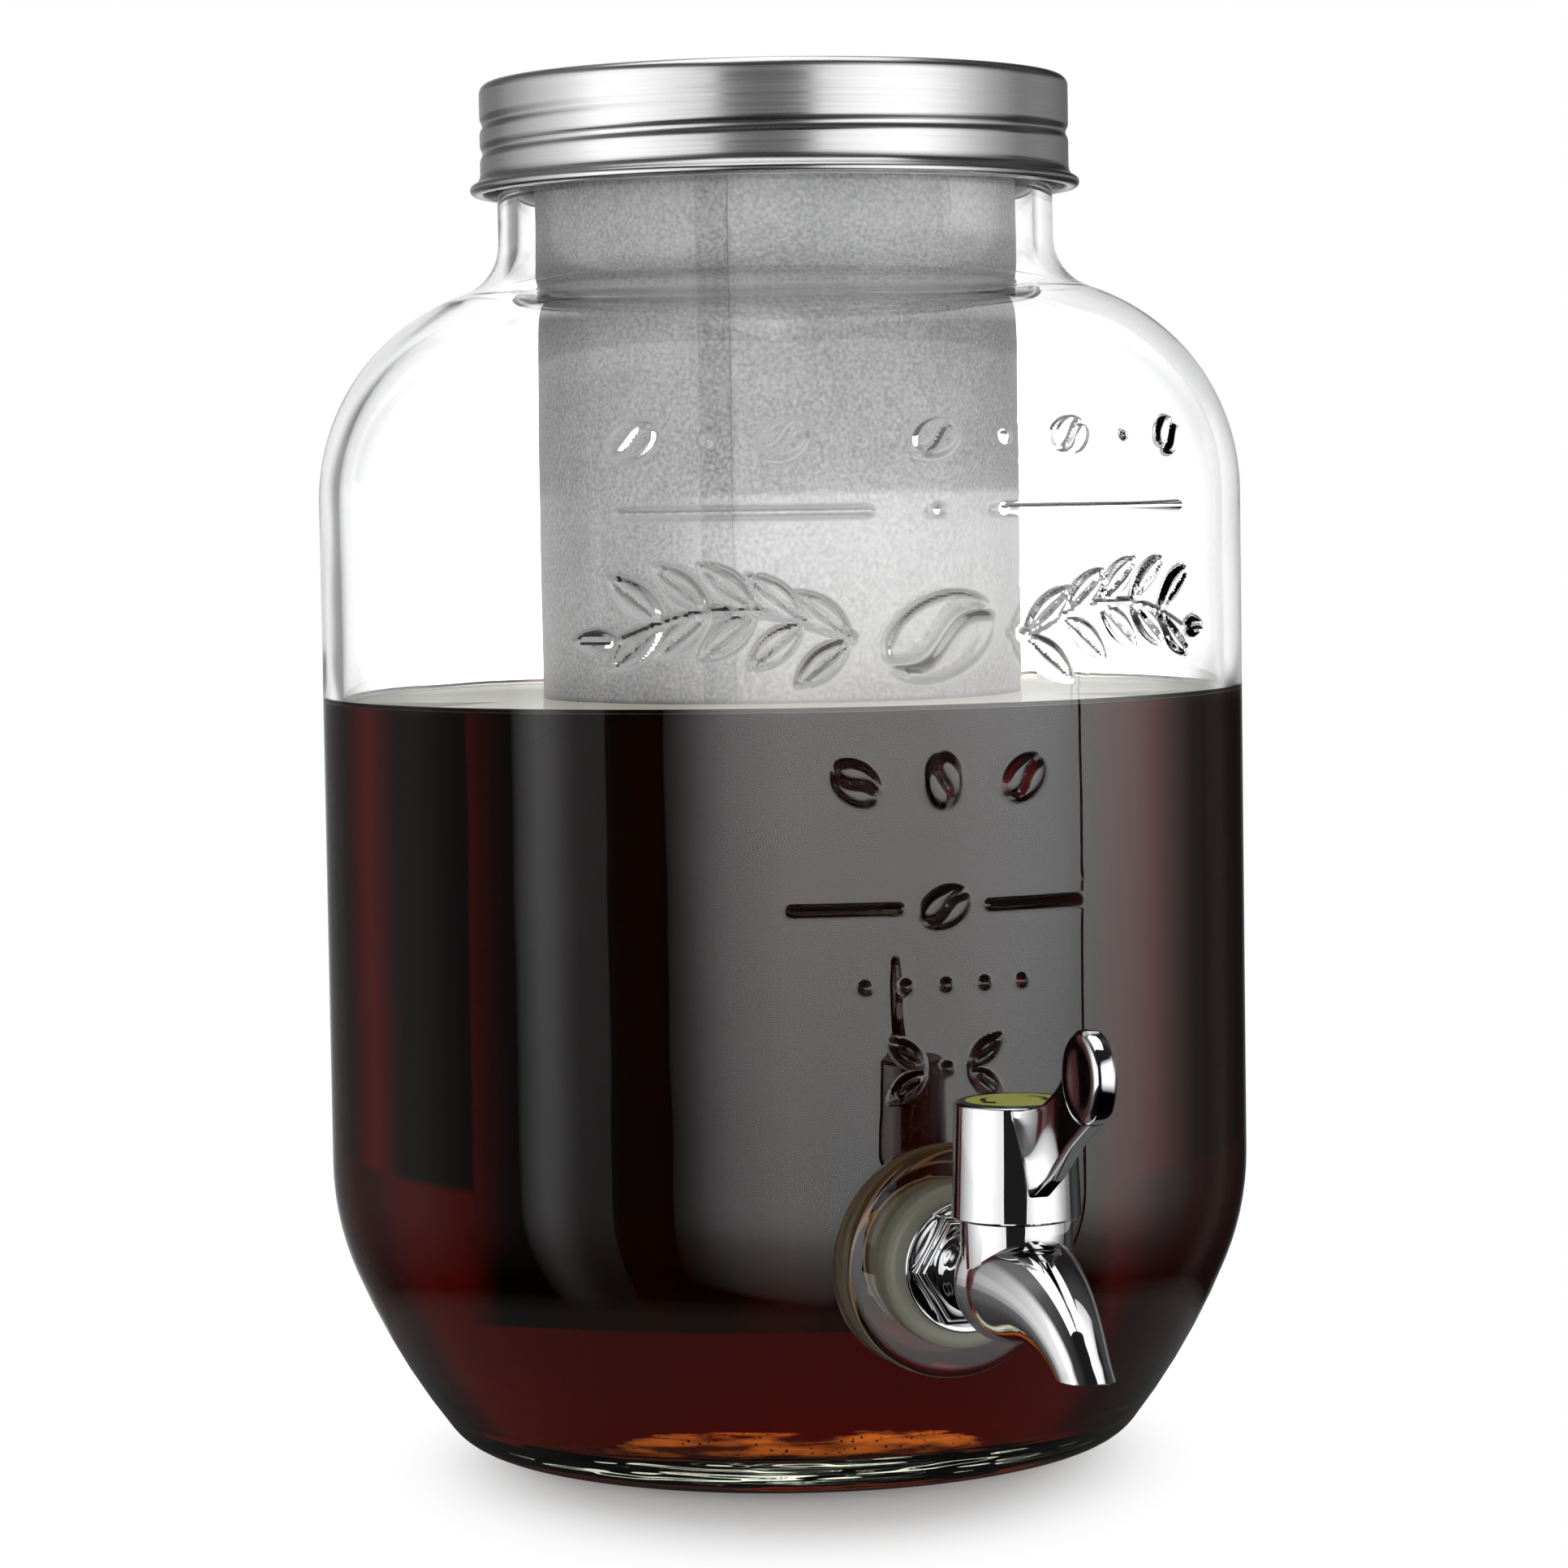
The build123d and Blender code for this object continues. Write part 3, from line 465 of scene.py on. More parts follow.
# Where the coffee wets the wall, light passes from glass to drink and hardly mirrors.
wet_glass, shader = material_for(
    "wet_glass", Base_Color=(*glass_tint, 1), Roughness=0, IOR=1.128, Transmission_Weight=1
)
roughen(wet_glass, shader, noise(wet_glass, object_place(wet_glass), 38.0, 1.0), 0.2, 0.0003)
let_lamps_through(wet_glass, shader, (0.99, 0.99, 0.99, 1))
jar.data.materials.append(wet_glass)
for face in jar.data.polygons:
    x, y, z = face.center
    inward = face.normal.x * x + face.normal.y * y < 0
    on_floor = face.normal.z > 0.5 and z > 0.006
    if z < fill_level + 0.0007 and (inward or on_floor) and x * x + y * y < 0.0802**2:
        face.material_index = 1
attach(jar, "jar")
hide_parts("glass_front", "glass_back", "glass_bottom")


# ---- Coffee ----
# Cold coffee that fills the jar to a little over half. It is the drink itself, nearly black in bulk and red where the
# light passes through less of it. It fills the glass to the wall and stays in the jar.
into_glass = 0.00005
drink = [(0.002, 0.00795), (0.020, 0.00795), (0.0586, 0.00795)]
arc(drink, 0, inner_heel_radius + into_glass, inner_heel_turn, 6)
arc(drink, inner_heel_turn, belly_radius - wall + into_glass, inner_belly_turn, 4)
arc(drink, 90 - flank_turn, flank_radius - wall + into_glass, flank_turn, 6)
rise(drink, fill_level + meniscus, 6)
drink += [(0.0792, fill_level + 0.0003), (0.0780, fill_level), (0.040, fill_level), (0.002, fill_level)]
coffee = turned("coffee", drink, jar_steps)
rounded(coffee, 60)
cold_coffee, shader = material_for(
    "cold_coffee", Base_Color=(0.60, 0.42, 0.28, 1), Roughness=0, IOR=1.33, Transmission_Weight=1
)
where = object_place(cold_coffee)
roughen(cold_coffee, shader, noise(cold_coffee, where, 60.0, 3.0), 0.08, 0.0003)
# Its top gets a painted sheen: a pale colour mixed in where it is seen at a low slant. Its sides have no skin of their
# own against the glass.
top_margin = 0.00005
on_top = reckon(cold_coffee, "GREATER_THAN", parts_of(cold_coffee, where)["Z"], fill_level - top_margin)
slant = add_node(cold_coffee, "ShaderNodeLayerWeight", {"Blend": 0.5}).outputs["Facing"]
painted_sheen = add_node(cold_coffee, "ShaderNodeBsdfDiffuse", {"Color": (0.60, 0.59, 0.50, 1)})
sheened_top = mix_shaders(cold_coffee, remap(cold_coffee, slant, 0.80, 0.93, 0.0, 0.85), shader, painted_sheen)
no_skin = add_node(cold_coffee, "ShaderNodeBsdfTransparent", {"Color": (1, 1, 1, 1)})
surface(cold_coffee, mix_shaders(cold_coffee, on_top, no_skin, sheened_top))
depth = add_node(cold_coffee, "ShaderNodeVolumeAbsorption", {"Color": (0.72, 0.40, 0.05, 1), "Density": 100.0})
link(cold_coffee, depth.outputs["Volume"], cold_coffee.node_tree.nodes["Material Output"].inputs["Volume"])
wear(cold_coffee, coffee)
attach(coffee, "jar")


# ---- Settled fines ----
# The finest grounds that pass the mesh and settle in the jar's heel, near the tap, as a thin bank with darker specks.
# Its bright orange is partly painted glow, which stands in for light that comes up through the glass foot and a thin
# layer of drink. They lie in the drink and stay in the jar.
heel_radius = 0.0586
heel_height = 0.0140
fines_outline = []
for reach, angles in ((0.0057, range(-88, 0, 6)), (0.0053, range(-4, -90, -6))):
    fines_outline += [(heel_radius + reach * cos(radians(a)), heel_height + reach * sin(radians(a))) for a in angles]
fines_outline.append(fines_outline[0])
fines = turned("settled_fines", fines_outline, 128, ring=True)
rounded(fines, 60)
silt_painted_glow, shader = material_for("silt_painted_glow", Roughness=0.9, Specular_IOR_Level=0.0)
where = object_place(silt_painted_glow)
view_turn = radians(-18.5)  # from the tap round to the camera
# The bank is centred on the side that faces the camera, where the painted glow shows, and thins out upwards.
bank = add_node(silt_painted_glow, "ShaderNodeMapping", {"Vector": where, "Rotation": (0, 0, view_turn)}, vector_type="TEXTURE")
bank = bank.outputs["Vector"]
x, y, z = parts_of(silt_painted_glow, bank)
middle = remap(silt_painted_glow, reckon(silt_painted_glow, "ABSOLUTE", x), 0.037, 0.020)
body = reckon(silt_painted_glow, "MULTIPLY", middle, remap(silt_painted_glow, y, -0.040, -0.050))
bulk = reckon(silt_painted_glow, "MULTIPLY", body, remap(silt_painted_glow, z, 0.0085, 0.0145, 1.30, 0.15))
drift = noise(silt_painted_glow, bank, 1.0, 4.0, stretch=(90, 90, 700))
cover = reckon(silt_painted_glow, "MULTIPLY_ADD", drift, 0.9, bulk)
link(silt_painted_glow, remap(silt_painted_glow, cover, 0.90, 1.15), shader.inputs["Alpha"])
# Painted glow: the bright orange stands in for light coming up through the foot; the dark brown is the grounds' own
# colour.
tint = blend(silt_painted_glow, remap(silt_painted_glow, drift, 0.40, 0.62), (0.12, 0.016, 0.005), (0.98, 0.22, 0.03))
grit = add_node(silt_painted_glow, "ShaderNodeTexVoronoi", {"Vector": where, "Scale": 750.0}).outputs["Distance"]
dotted = blend(silt_painted_glow, reckon(silt_painted_glow, "LESS_THAN", grit, 0.20), tint, (0.02, 0.008, 0.005))
link(silt_painted_glow, dotted, shader.inputs["Base Color"])
wear(silt_painted_glow, fines)
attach(fines, "jar")


# ---- Lid ----
# A lid drawn from half-millimetre tinplate, satin all over. Its screw thread is rolled into the skirt as one groove
# that fades at both ends, and the skirt flares into a rolled edge.
lid_top = 0.2464
lid_outline = [(radius, lid_top) for radius in (0.002, 0.020, 0.040, 0.0505, 0.0514)]
arc(lid_outline, 0, 0.0018, -90, 6)
rise(lid_outline, 0.2303, 34)
lid_outline += [(0.0533, 0.2297), (0.0535, 0.2291), (0.0538, 0.2287), (0.0541, 0.2284)]
arc(lid_outline, 0, 0.0010, -180, 8)
lid_outline += [(0.0532, 0.2264), (0.0528, 0.2267), (0.0527, 0.2272), (0.0527, 0.2303)]
rise(lid_outline, 0.2446, 34)
arc(lid_outline, 90, 0.0013, 90, 4)
lid_outline += [(0.040, 0.2459), (0.002, 0.2459)]
lid = turned("lid_skin", lid_outline, 192)
roll_thread(lid, 0.0520, (0.2300, 0.2446), 0.25, 0.2328, 1.42, (0.10, 0.16), 0.0015, -0.0005)
rounded(lid, 40)
satin_steel, shader = material_for("satin_steel", Base_Color=(0.78, 0.78, 0.78, 1), Metallic=1)
grain = noise(satin_steel, object_place(satin_steel), 1.0, 2.0, stretch=(25, 25, 2600))
link(satin_steel, remap(satin_steel, grain, 0.3, 0.7, 0.19, 0.31), shader.inputs["Roughness"])
roughen(satin_steel, shader, grain, 0.10, 0.0001)
wear(satin_steel, lid)
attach(lid, "lid")
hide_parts("lid_shell")


# ---- Liner and sealing ring of the lid ----
# A loose disc of white plastic under the lid's top, and a soft grey ring of silicone that seals it to the filter's
# flange. Both stay in the lid when it is unscrewed.
def speckled(name, colour, darker, size, roughness, spread, height, **sockets):
    """A material with a fine grain: its colour, its roughness and its surface vary together."""
    material, shader = material_for(name, **sockets)
    grain = noise(material, object_place(material), size, 4.0)
    link(material, blend(material, grain, darker, colour), shader.inputs["Base Color"])
    blur = remap(material, grain, 0.0, 1.0, roughness - spread, roughness + spread)
    link(material, blur, shader.inputs["Roughness"])
    roughen(material, shader, grain, 0.3, height)
    return material


node = frame["nodes"]
wear(speckled("liner_white", (0.86, 0.86, 0.84), (0.80, 0.80, 0.78), 900, 0.55, 0.06, 0.00002), node["lid_liner"])
wear(speckled("gasket_grey", (0.62, 0.62, 0.60), (0.55, 0.55, 0.53), 700, 0.60, 0.08, 0.00003), node["lid_gasket"])


# ---- Filter ----
# A sleeve of fine stainless mesh, rolled and seam-welded, that hangs in the neck on a spun collar. A band and a mesh
# disc close its lower end, which stands in the drink.
def soak(material, shader, height, colour, roughness):
    """Colours a piece of the filter: glossy and nearly black below the drink's level, where wet grounds cling to it."""
    dry = remap(material, height, fill_level - 0.0005, fill_level + 0.0010)
    link(material, blend(material, dry, (0.012, 0.006, 0.004), colour), shader.inputs["Base Color"])
    link(material, remap(material, dry, 0.0, 1.0, 0.12, roughness), shader.inputs["Roughness"])


sleeve_radius = 0.0435
sleeve_bottom = 0.0319
mesh_thickness = 0.0005
wire_pitch = 0.00042


def mesh_weave(name, dark, bright):
    """Fine woven wire: a square weave with a blotchy tone, from a dark grey to a bright one."""
    material, shader = material_for(name, Metallic=0.45)
    where = object_place(material)
    x, y, z = parts_of(material, where)
    wires = 2 * pi / wire_pitch
    around = reckon(material, "ARCTAN2", x, y)
    warp = reckon(material, "SINE", reckon(material, "MULTIPLY", around, sleeve_radius * wires))
    weft = reckon(material, "SINE", reckon(material, "MULTIPLY", z, wires))
    speck = noise(material, where, 1500.0, 2.0, roughness=0.7)
    fine = reckon(material, "MULTIPLY_ADD", reckon(material, "MULTIPLY", warp, weft), 0.16, speck)
    tone = reckon(material, "MULTIPLY_ADD", noise(material, where, 45.0, 3.0), 0.35, fine)
    tint = blend(material, remap(material, tone, 0.47, 0.88), (dark, dark, dark), (bright, bright, bright))
    soak(material, shader, z, tint, 0.55)
    roughen(material, shader, fine, 0.5, 0.0001)
    return material


sleeve_outline = [(sleeve_radius, sleeve_bottom)]
rise(sleeve_outline, rim_height, 24)
sleeve_outline.append((sleeve_radius - mesh_thickness, rim_height))
rise(sleeve_outline, sleeve_bottom, 24)
sleeve_outline.append(sleeve_outline[0])
sleeve = turned("filter_mesh_roll", sleeve_outline, 128, ring=True)
rounded(sleeve, 40)
wear(mesh_weave("wire_mesh", 0.25, 0.53), sleeve)
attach(sleeve, "filter")
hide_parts("filter_mesh_sleeve")
wear(mesh_weave("seam_mesh", 0.15, 0.45), node["filter_seam_strip"])
wear(mesh_weave("end_mesh", 0.30, 0.62), node["filter_bottom_mesh"])
spun_steel = speckled("spun_steel", (0.74, 0.74, 0.73), (0.66, 0.66, 0.65), 500, 0.30, 0.05, 0.00002, Metallic=1.0)
wear(spun_steel, node["filter_collar"])
wet_steel, shader = material_for("wet_steel", Metallic=0.8)
where = object_place(wet_steel)
grain = add_node(wet_steel, "ShaderNodeTexNoise", {"Vector": where, "Scale": 500.0, "Detail": 4.0})
soak(wet_steel, shader, parts_of(wet_steel, where)["Z"], grain.outputs["Color"], 0.35)
wear(wet_steel, node["filter_bottom_band"])


# ---- Washers and lock nut of the tap ----
# A thick washer of clear silicone between the glass and the tap, a thinner one inside, and a plastic washer and
# hexagon nut that draw the tap's shank tight. Only the outer washer shows.
flange_seat = 0.0912
washer_outline = [(0.0082, boss_face), (0.0140, boss_face), (0.0140, 0.0898)]
arc(washer_outline, 90, 0.0014, 90, 6)
washer_outline += [(0.0122, flange_seat), (0.0112, flange_seat), (0.0082, flange_seat), (0.0082, boss_face)]
washer = turned("outer_seal", washer_outline, 96, ring=True)
lay_along_tap(washer)
rounded(washer, 40)
clear_rubber = speckled(
    "clear_rubber", (0.27, 0.27, 0.21), (0.20, 0.20, 0.155), 120, 0.34, 0.05, 0.00004,
    Transmission_Weight=0.35, IOR=1.41, Subsurface_Weight=0.25, Subsurface_Scale=0.004,
)
wear(clear_rubber, washer)
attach(washer, "jar")
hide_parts("outer_washer")
wear(clear_rubber, node["inner_washer"])
nut_white = speckled("nut_white", (0.82, 0.82, 0.80), (0.76, 0.76, 0.74), 600, 0.45, 0.06, 0.00003)
wear(nut_white, node["nut_washer"])
wear(nut_white, node["lock_nut"])


# ---- Tap body ----
# One zinc casting, polished and chromed: shank and flange, hexagon, neck, barrel, and an elbow that runs out into a
# tapered spout. The mouth of the spout is cut level and bored.
def soften(piece, width, degrees_apart=30):
    """Rounds off every edge of a piece that bends more than an angle."""
    pick(piece)
    edge = piece.modifiers.new("edge", "BEVEL")
    edge.width = width
    edge.segments = 3
    edge.angle_limit = radians(degrees_apart)
    bpy.ops.object.modifier_apply(modifier=edge.name)


chrome, shader = material_for("polished_chrome", Base_Color=(0.90, 0.90, 0.91, 1), Metallic=1)
where = object_place(chrome)
link(chrome, remap(chrome, noise(chrome, where, 260.0, 3.0), 0.35, 0.7, 0.02, 0.06), shader.inputs["Roughness"])
roughen(chrome, shader, noise(chrome, where, 120.0, 0.0), 0.05, 0.0004)

barrel_reach = 0.1143
shank_outline = [(0.0072, 0.0648), (0.0080, 0.0656), (0.0080, flange_seat), (0.0109, flange_seat)]
shank_outline += [(0.0111, 0.0914), (0.0111, 0.0921)]
arc(shank_outline, 90, 0.0004, 90, 4)
shank_outline += [(0.0100, 0.0924), (0.0095, 0.0921), (0.0060, 0.0921)]
tap = turned("tap_casting", shank_outline, 96)
lay_along_tap(tap)
root_three = 1.7320508
for name, flats, near, far in (("hexagon", 0.0180, 0.0918, 0.0951), ("hexagon_step", 0.0162, 0.0940, 0.0960)):
    hexagon = turned(name, [(flats / root_three, near), (flats / root_three, far)], 6)
    place(hexagon, (0, 0, 0), (0, 0, radians(30)))
    lay_along_tap(hexagon)
    soften(hexagon, 0.00035)
    combine(tap, hexagon, "UNION")
neck_outline = [(0.0070, 0.0930), (0.0072, 0.0962), (0.0070, 0.0970), (0.0069, 0.1000)]
neck_outline += [(0.0072, 0.1040), (0.0079, 0.1075), (0.0079, 0.1110)]
neck = turned("tap_neck", neck_outline, 96)
lay_along_tap(neck)
combine(tap, neck, "UNION")

# Elbow and spout are one horn: a half ball at its back end, then a tube that thins and bends down to the outlet.
elbow_radius, outlet_radius, flare = 0.0095, 0.0045, 0.0050
horn_length = 0.039
route = ((barrel_reach, 0.0450), (0.1273, 0.0450), (0.13577, 0.04203), (0.1430, 0.0340))
horn_outline = [(0.0004, -0.00949)]
arc(horn_outline, -2.4, elbow_radius, 87.6, 24)
for number in range(1, 45):
    share = number / 40
    thinned = share * share * 1.08 / (share + 0.08)
    horn_outline.append((outlet_radius + flare * max(0, 1 - thinned) ** 1.3, horn_length * share))
horn = turned("spout", horn_outline, 96)
for corner in horn.data.vertices:
    side, across, along = corner.co
    share = max(0, along / horn_length)
    weights = ((1 - share) ** 3, 3 * share * (1 - share) ** 2, 3 * share**2 * (1 - share), share**3)
    out, height = (sum(w * knot[axis] for w, knot in zip(weights, route)) for axis in (0, 1))
    slopes = (-3 * (1 - share) ** 2, 3 * (1 - share) * (1 - 3 * share), 3 * share * (2 - 3 * share), 3 * share**2)
    run, drop = (sum(w * knot[axis] for w, knot in zip(slopes, route)) for axis in (0, 1))
    if along < 0:
        out += along
    length = (run * run + drop * drop) ** 0.5
    corner.co = (side, -out - across * drop / length, height - across * run / length)
pick(horn)
bpy.ops.object.mode_set(mode="EDIT")
bpy.ops.mesh.select_all(action="SELECT")
bpy.ops.mesh.bisect(plane_co=(0, 0, 0.034), plane_no=(0, 0, 1), use_fill=True, clear_inner=True)
bpy.ops.mesh.select_all(action="SELECT")
bpy.ops.mesh.normals_make_consistent(inside=False)
bpy.ops.object.mode_set(mode="OBJECT")
combine(tap, horn, "UNION")
barrel_outline = [(0.0060, 0.0462), (0.0091, 0.0462), (0.0091, 0.0551)]
arc(barrel_outline, 90, 0.0002, 90, 2)
barrel_outline += [(0.0083, 0.0553), (0.0083, 0.0660), (0.0060, 0.0660)]
barrel = turned("barrel", barrel_outline, 96)
place(barrel, (0, -barrel_reach, 0))
combine(tap, barrel, "UNION")
chamber = turned("chamber", [(0.0070, 0.0403), (0.0070, 0.0670)], 64)
place(chamber, (0, -barrel_reach, 0))
combine(tap, chamber, "DIFFERENCE")
shank_bore = turned("shank_bore", [(0.0045, 0.0600), (0.0045, barrel_reach)], 64)
lay_along_tap(shank_bore)
combine(tap, shank_bore, "DIFFERENCE")
outlet_bore = turned("outlet_bore", [(0.0036, 0), (0.0034, 0.010), (0.0015, 0.013)], 48)
place(outlet_bore, (0, -0.1457, 0.0310), (radians(-42), 0, 0))
combine(tap, outlet_bore, "DIFFERENCE")
rounded(tap, 32)
wear(chrome, tap)
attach(tap, "jar")
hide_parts("tap_body")


# ---- Valve ----
# A plastic plug turns in a black rubber sleeve inside the barrel. Two O-rings seal its stem, and a pressed bush holds
# it in. None of it shows until the tap is taken apart.
valve_white = speckled("valve_white", (0.86, 0.86, 0.83), (0.80, 0.80, 0.77), 800, 0.40, 0.05, 0.00002)
valve_black = speckled("valve_black", (0.05, 0.05, 0.05), (0.03, 0.03, 0.03), 800, 0.60, 0.08, 0.00003)
for name in ("valve_plug", "stem_bush"):
    wear(valve_white, node[name])
for name in ("valve_sleeve", "lower_o_ring", "upper_o_ring"):
    wear(valve_black, node[name])


# ---- Handle of the tap ----
# A skirted cap of chromed zinc with a thin lever that widens into a round thumb piece. It sits over the barrel's top
# and is screwed to the plug under its label.
cap_outline = [(0.0086, 0.0556), (0.0103, 0.0556), (0.0105, 0.0558), (0.0098, 0.0737)]
arc(cap_outline, 92, 0.0005, 88, 5)
cap_outline += [(0.0091, 0.0742), (0.0091, 0.0726), (0.0031, 0.0726), (0.0031, 0.0707), (0.0015, 0.0707)]
cap_outline += [(0.0015, 0.0663), (0.0086, 0.0663), (0.0086, 0.0556)]
handle = turned("tap_lever", cap_outline, 128, ring=True)
place(handle, (0, -barrel_reach, 0))

# The lever is a plate between a lower and an upper edge, each given as (distance from the cap's axis, height). Its root
# is thicker, most of all at its top, where it runs into the cap.
lower = np.array([(0.0055, 0.0590), (0.0105, 0.0600), (0.0180, 0.0640), (0.0265, 0.0700), (0.0345, 0.0745)])
upper = np.array([(0.0055, 0.0738), (0.0105, 0.0741), (0.0160, 0.0757), (0.0215, 0.0790), (0.0262, 0.0830)])
bpy.ops.object.select_all(action="DESELECT")
bpy.ops.mesh.primitive_grid_add(x_subdivisions=34, y_subdivisions=10, size=1, location=(0, 0, 0))
fin = bpy.context.object
fin.name = "lever_fin"
knots = np.linspace(0, 1, 5)
for corner in fin.data.vertices:
    run, share = corner.co.x + 0.5, corner.co.y + 0.5
    low = [np.interp(run, knots, lower[:, axis]) for axis in (0, 1)]
    high = [np.interp(run, knots, upper[:, axis]) for axis in (0, 1)]
    out, height = (low[axis] + (high[axis] - low[axis]) * share for axis in (0, 1))
    corner.co = (0, -barrel_reach - out, height)
thicken = fin.modifiers.new("thickness", "SOLIDIFY")
thicken.thickness = 0.0028
thicken.offset = 0
bpy.ops.object.modifier_apply(modifier=thicken.name)
for corner in fin.data.vertices:
    out = -corner.co.y - barrel_reach
    level = np.interp(corner.co.z, (0.0595, 0.0735), (0.15, 1.0))
    corner.co.x *= 1 + 2.0 * level * np.exp(-max(0, out - 0.0092) / 0.0034)
soften(fin, 0.0005, 40)
bpy.ops.object.mode_set(mode="EDIT")
bpy.ops.mesh.select_all(action="SELECT")
bpy.ops.mesh.normals_make_consistent(inside=False)
bpy.ops.object.mode_set(mode="OBJECT")
combine(handle, fin, "UNION")
thumb_outline = [(0.0005, -0.0017), (0.0040, -0.00178), (0.0063, -0.00195)]
arc(thumb_outline, 0, 0.0012, 90, 5)
thumb_outline.append((0.0075, 0.00075))
arc(thumb_outline, 90, 0.0012, 90, 5)
thumb_outline += [(0.0040, 0.00178), (0.0005, 0.0017)]
thumb = turned("thumb_piece", thumb_outline, 96)
place(thumb, (0, -barrel_reach - 0.0317, 0.0815), (0, pi / 2, 0))
combine(handle, thumb, "UNION")
rounded(handle, 32)
wear(chrome, handle)
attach(handle, "tap_handle")
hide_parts("handle_cap")


# ---- Screw, insert and label of the handle ----
# A plain screw holds the cap to the plug. Over it lies a black insert with a recessed yellow-green label, printed with
# two curved arrows that show the way to turn.
plain_steel = speckled("plain_steel", (0.62, 0.62, 0.62), (0.52, 0.52, 0.52), 900, 0.32, 0.06, 0.00002, Metallic=1.0)
wear(plain_steel, node["handle_screw"])
insert_black = speckled("insert_black", (0.030, 0.030, 0.030), (0.018, 0.018, 0.018), 900, 0.22, 0.05, 0.00001)
wear(insert_black, node["cap_insert"])
label, shader = material_for("label_green", Roughness=0.42)
where = object_place(label)
centred = add_node(label, "ShaderNodeMapping", {"Vector": where, "Location": (0, barrel_reach, -0.0744)})
centred = centred.outputs["Vector"]
x, y, z = parts_of(label, centred)
arrow_radius = 0.0052
head_start, head_end = 1.75, 2.25  # angles from the lever, in radians
angle = reckon(label, "ARCTAN2", reckon(label, "ABSOLUTE", x), y)
distance = add_node(label, "ShaderNodeVectorMath", {0: centred}, operation="LENGTH").outputs["Value"]
off_line = reckon(label, "ABSOLUTE", reckon(label, "SUBTRACT", distance, arrow_radius))
tail = remap(label, angle, 0.75, 0.80, 0.0, 0.00045)
head = remap(label, angle, head_start, head_end, 0.0015, 0.0)
is_head = reckon(label, "GREATER_THAN", angle, head_start)
width = add_node(label, "ShaderNodeMix", {0: is_head, 2: tail, 3: head}).outputs[0]
inked = reckon(label, "LESS_THAN", off_line, width)
paper = blend(label, noise(label, where, 700.0, 3.0), (0.36, 0.37, 0.07), (0.46, 0.46, 0.11))
link(label, blend(label, inked, paper, (0.02, 0.02, 0.015)), shader.inputs["Base Color"])
wear(label, node["handle_label"])


# ---- Table ----
# A plain pale table top under the jar. It takes the jar's soft shadow, and a painted shadow deepens it: an emission
# that is weakest in an oval near the jar, set off towards the camera, lifts the rest, which runs out into white. Where
# chrome and glass mirror it, it is a dim grey that ends in the room.
white_light = (1, 1, 1, 1)
bpy.ops.object.select_all(action="DESELECT")
bpy.ops.mesh.primitive_circle_add(vertices=128, radius=0.26, fill_type="NGON", location=(0, 0, -0.0003))
table = bpy.context.object
table.name = "table_top"
bpy.ops.object.transform_apply(location=True, rotation=True, scale=True)
pale, shader = material_for("pale_table", Base_Color=(0.80, 0.80, 0.80, 1), Roughness=0.45)
where = object_place(pale)
# Painted shadow: an oval, moved towards the camera, in which the emission lift is weaker and the white starts later.
painted_shadow_place = {"Vector": where, "Location": (-0.0063, -0.019, 0), "Rotation": (0, 0, view_turn), "Scale": (0.80, 1.12, 1)}
painted_shadow_place = add_node(pale, "ShaderNodeMapping", painted_shadow_place, vector_type="TEXTURE").outputs["Vector"]
away = add_node(pale, "ShaderNodeVectorMath", {0: where}, operation="LENGTH").outputs["Value"]
painted_shadow_distance = add_node(pale, "ShaderNodeVectorMath", {0: painted_shadow_place}, operation="LENGTH").outputs["Value"]
rays = add_node(pale, "ShaderNodeLightPath")
seen = reckon(pale, "MAXIMUM", rays.outputs["Is Camera Ray"], rays.outputs["Is Transmission Ray"])
lift = reckon(pale, "MULTIPLY", seen, remap(pale, painted_shadow_distance, 0.03, 0.08, 0.12, 0.38))
glow = add_node(pale, "ShaderNodeEmission", {"Color": white_light, "Strength": lift})
shaded = add_node(pale, "ShaderNodeAddShader", {0: shader.outputs["BSDF"], 1: glow.outputs["Emission"]})
white = add_node(pale, "ShaderNodeEmission", {"Color": white_light, "Strength": 1.0})
far_share = remap(pale, painted_shadow_distance, 0.050, 0.093, interpolation_type="SMOOTHSTEP")
top = mix_shaders(pale, reckon(pale, "MULTIPLY", far_share, seen), shaded, white)
dusk = add_node(pale, "ShaderNodeBsdfDiffuse", {"Color": (0.19, 0.19, 0.19, 1)})
opened = add_node(pale, "ShaderNodeBsdfTransparent", {"Color": white_light})
mirrored_top = mix_shaders(pale, remap(pale, away, 0.108, 0.125), dusk, opened)
surface(pale, mix_shaders(pale, rays.outputs["Is Glossy Ray"], top, mirrored_top))
wear(pale, table)


# ---- Studio ----
# A white backdrop behind the jar, a dim room in front, and plain soft boxes: three for the glass, two for the chrome
# and the lid, a weak one each for the lid and the spout, one for the filter, and one overhead.
world = bpy.data.worlds.new("studio")
bpy.context.scene.world = world
world.use_nodes = True
world.node_tree.nodes.clear()
where = add_node(world, "ShaderNodeTexCoord").outputs["Generated"]
turned_room = add_node(world, "ShaderNodeMapping", {"Vector": where, "Rotation": (0, 0, -view_turn)})
x, y, height = parts_of(world, turned_room.outputs["Vector"])
turn_share = remap(world, reckon(world, "ARCTAN2", x, y), -pi, pi)


def round_room(stops):
    """A brightness round the room, from stops of (degrees from the view's direction, brightness)."""
    return ramp(world, turn_share, [((angle + 180) / 360, value) for angle, value in stops])


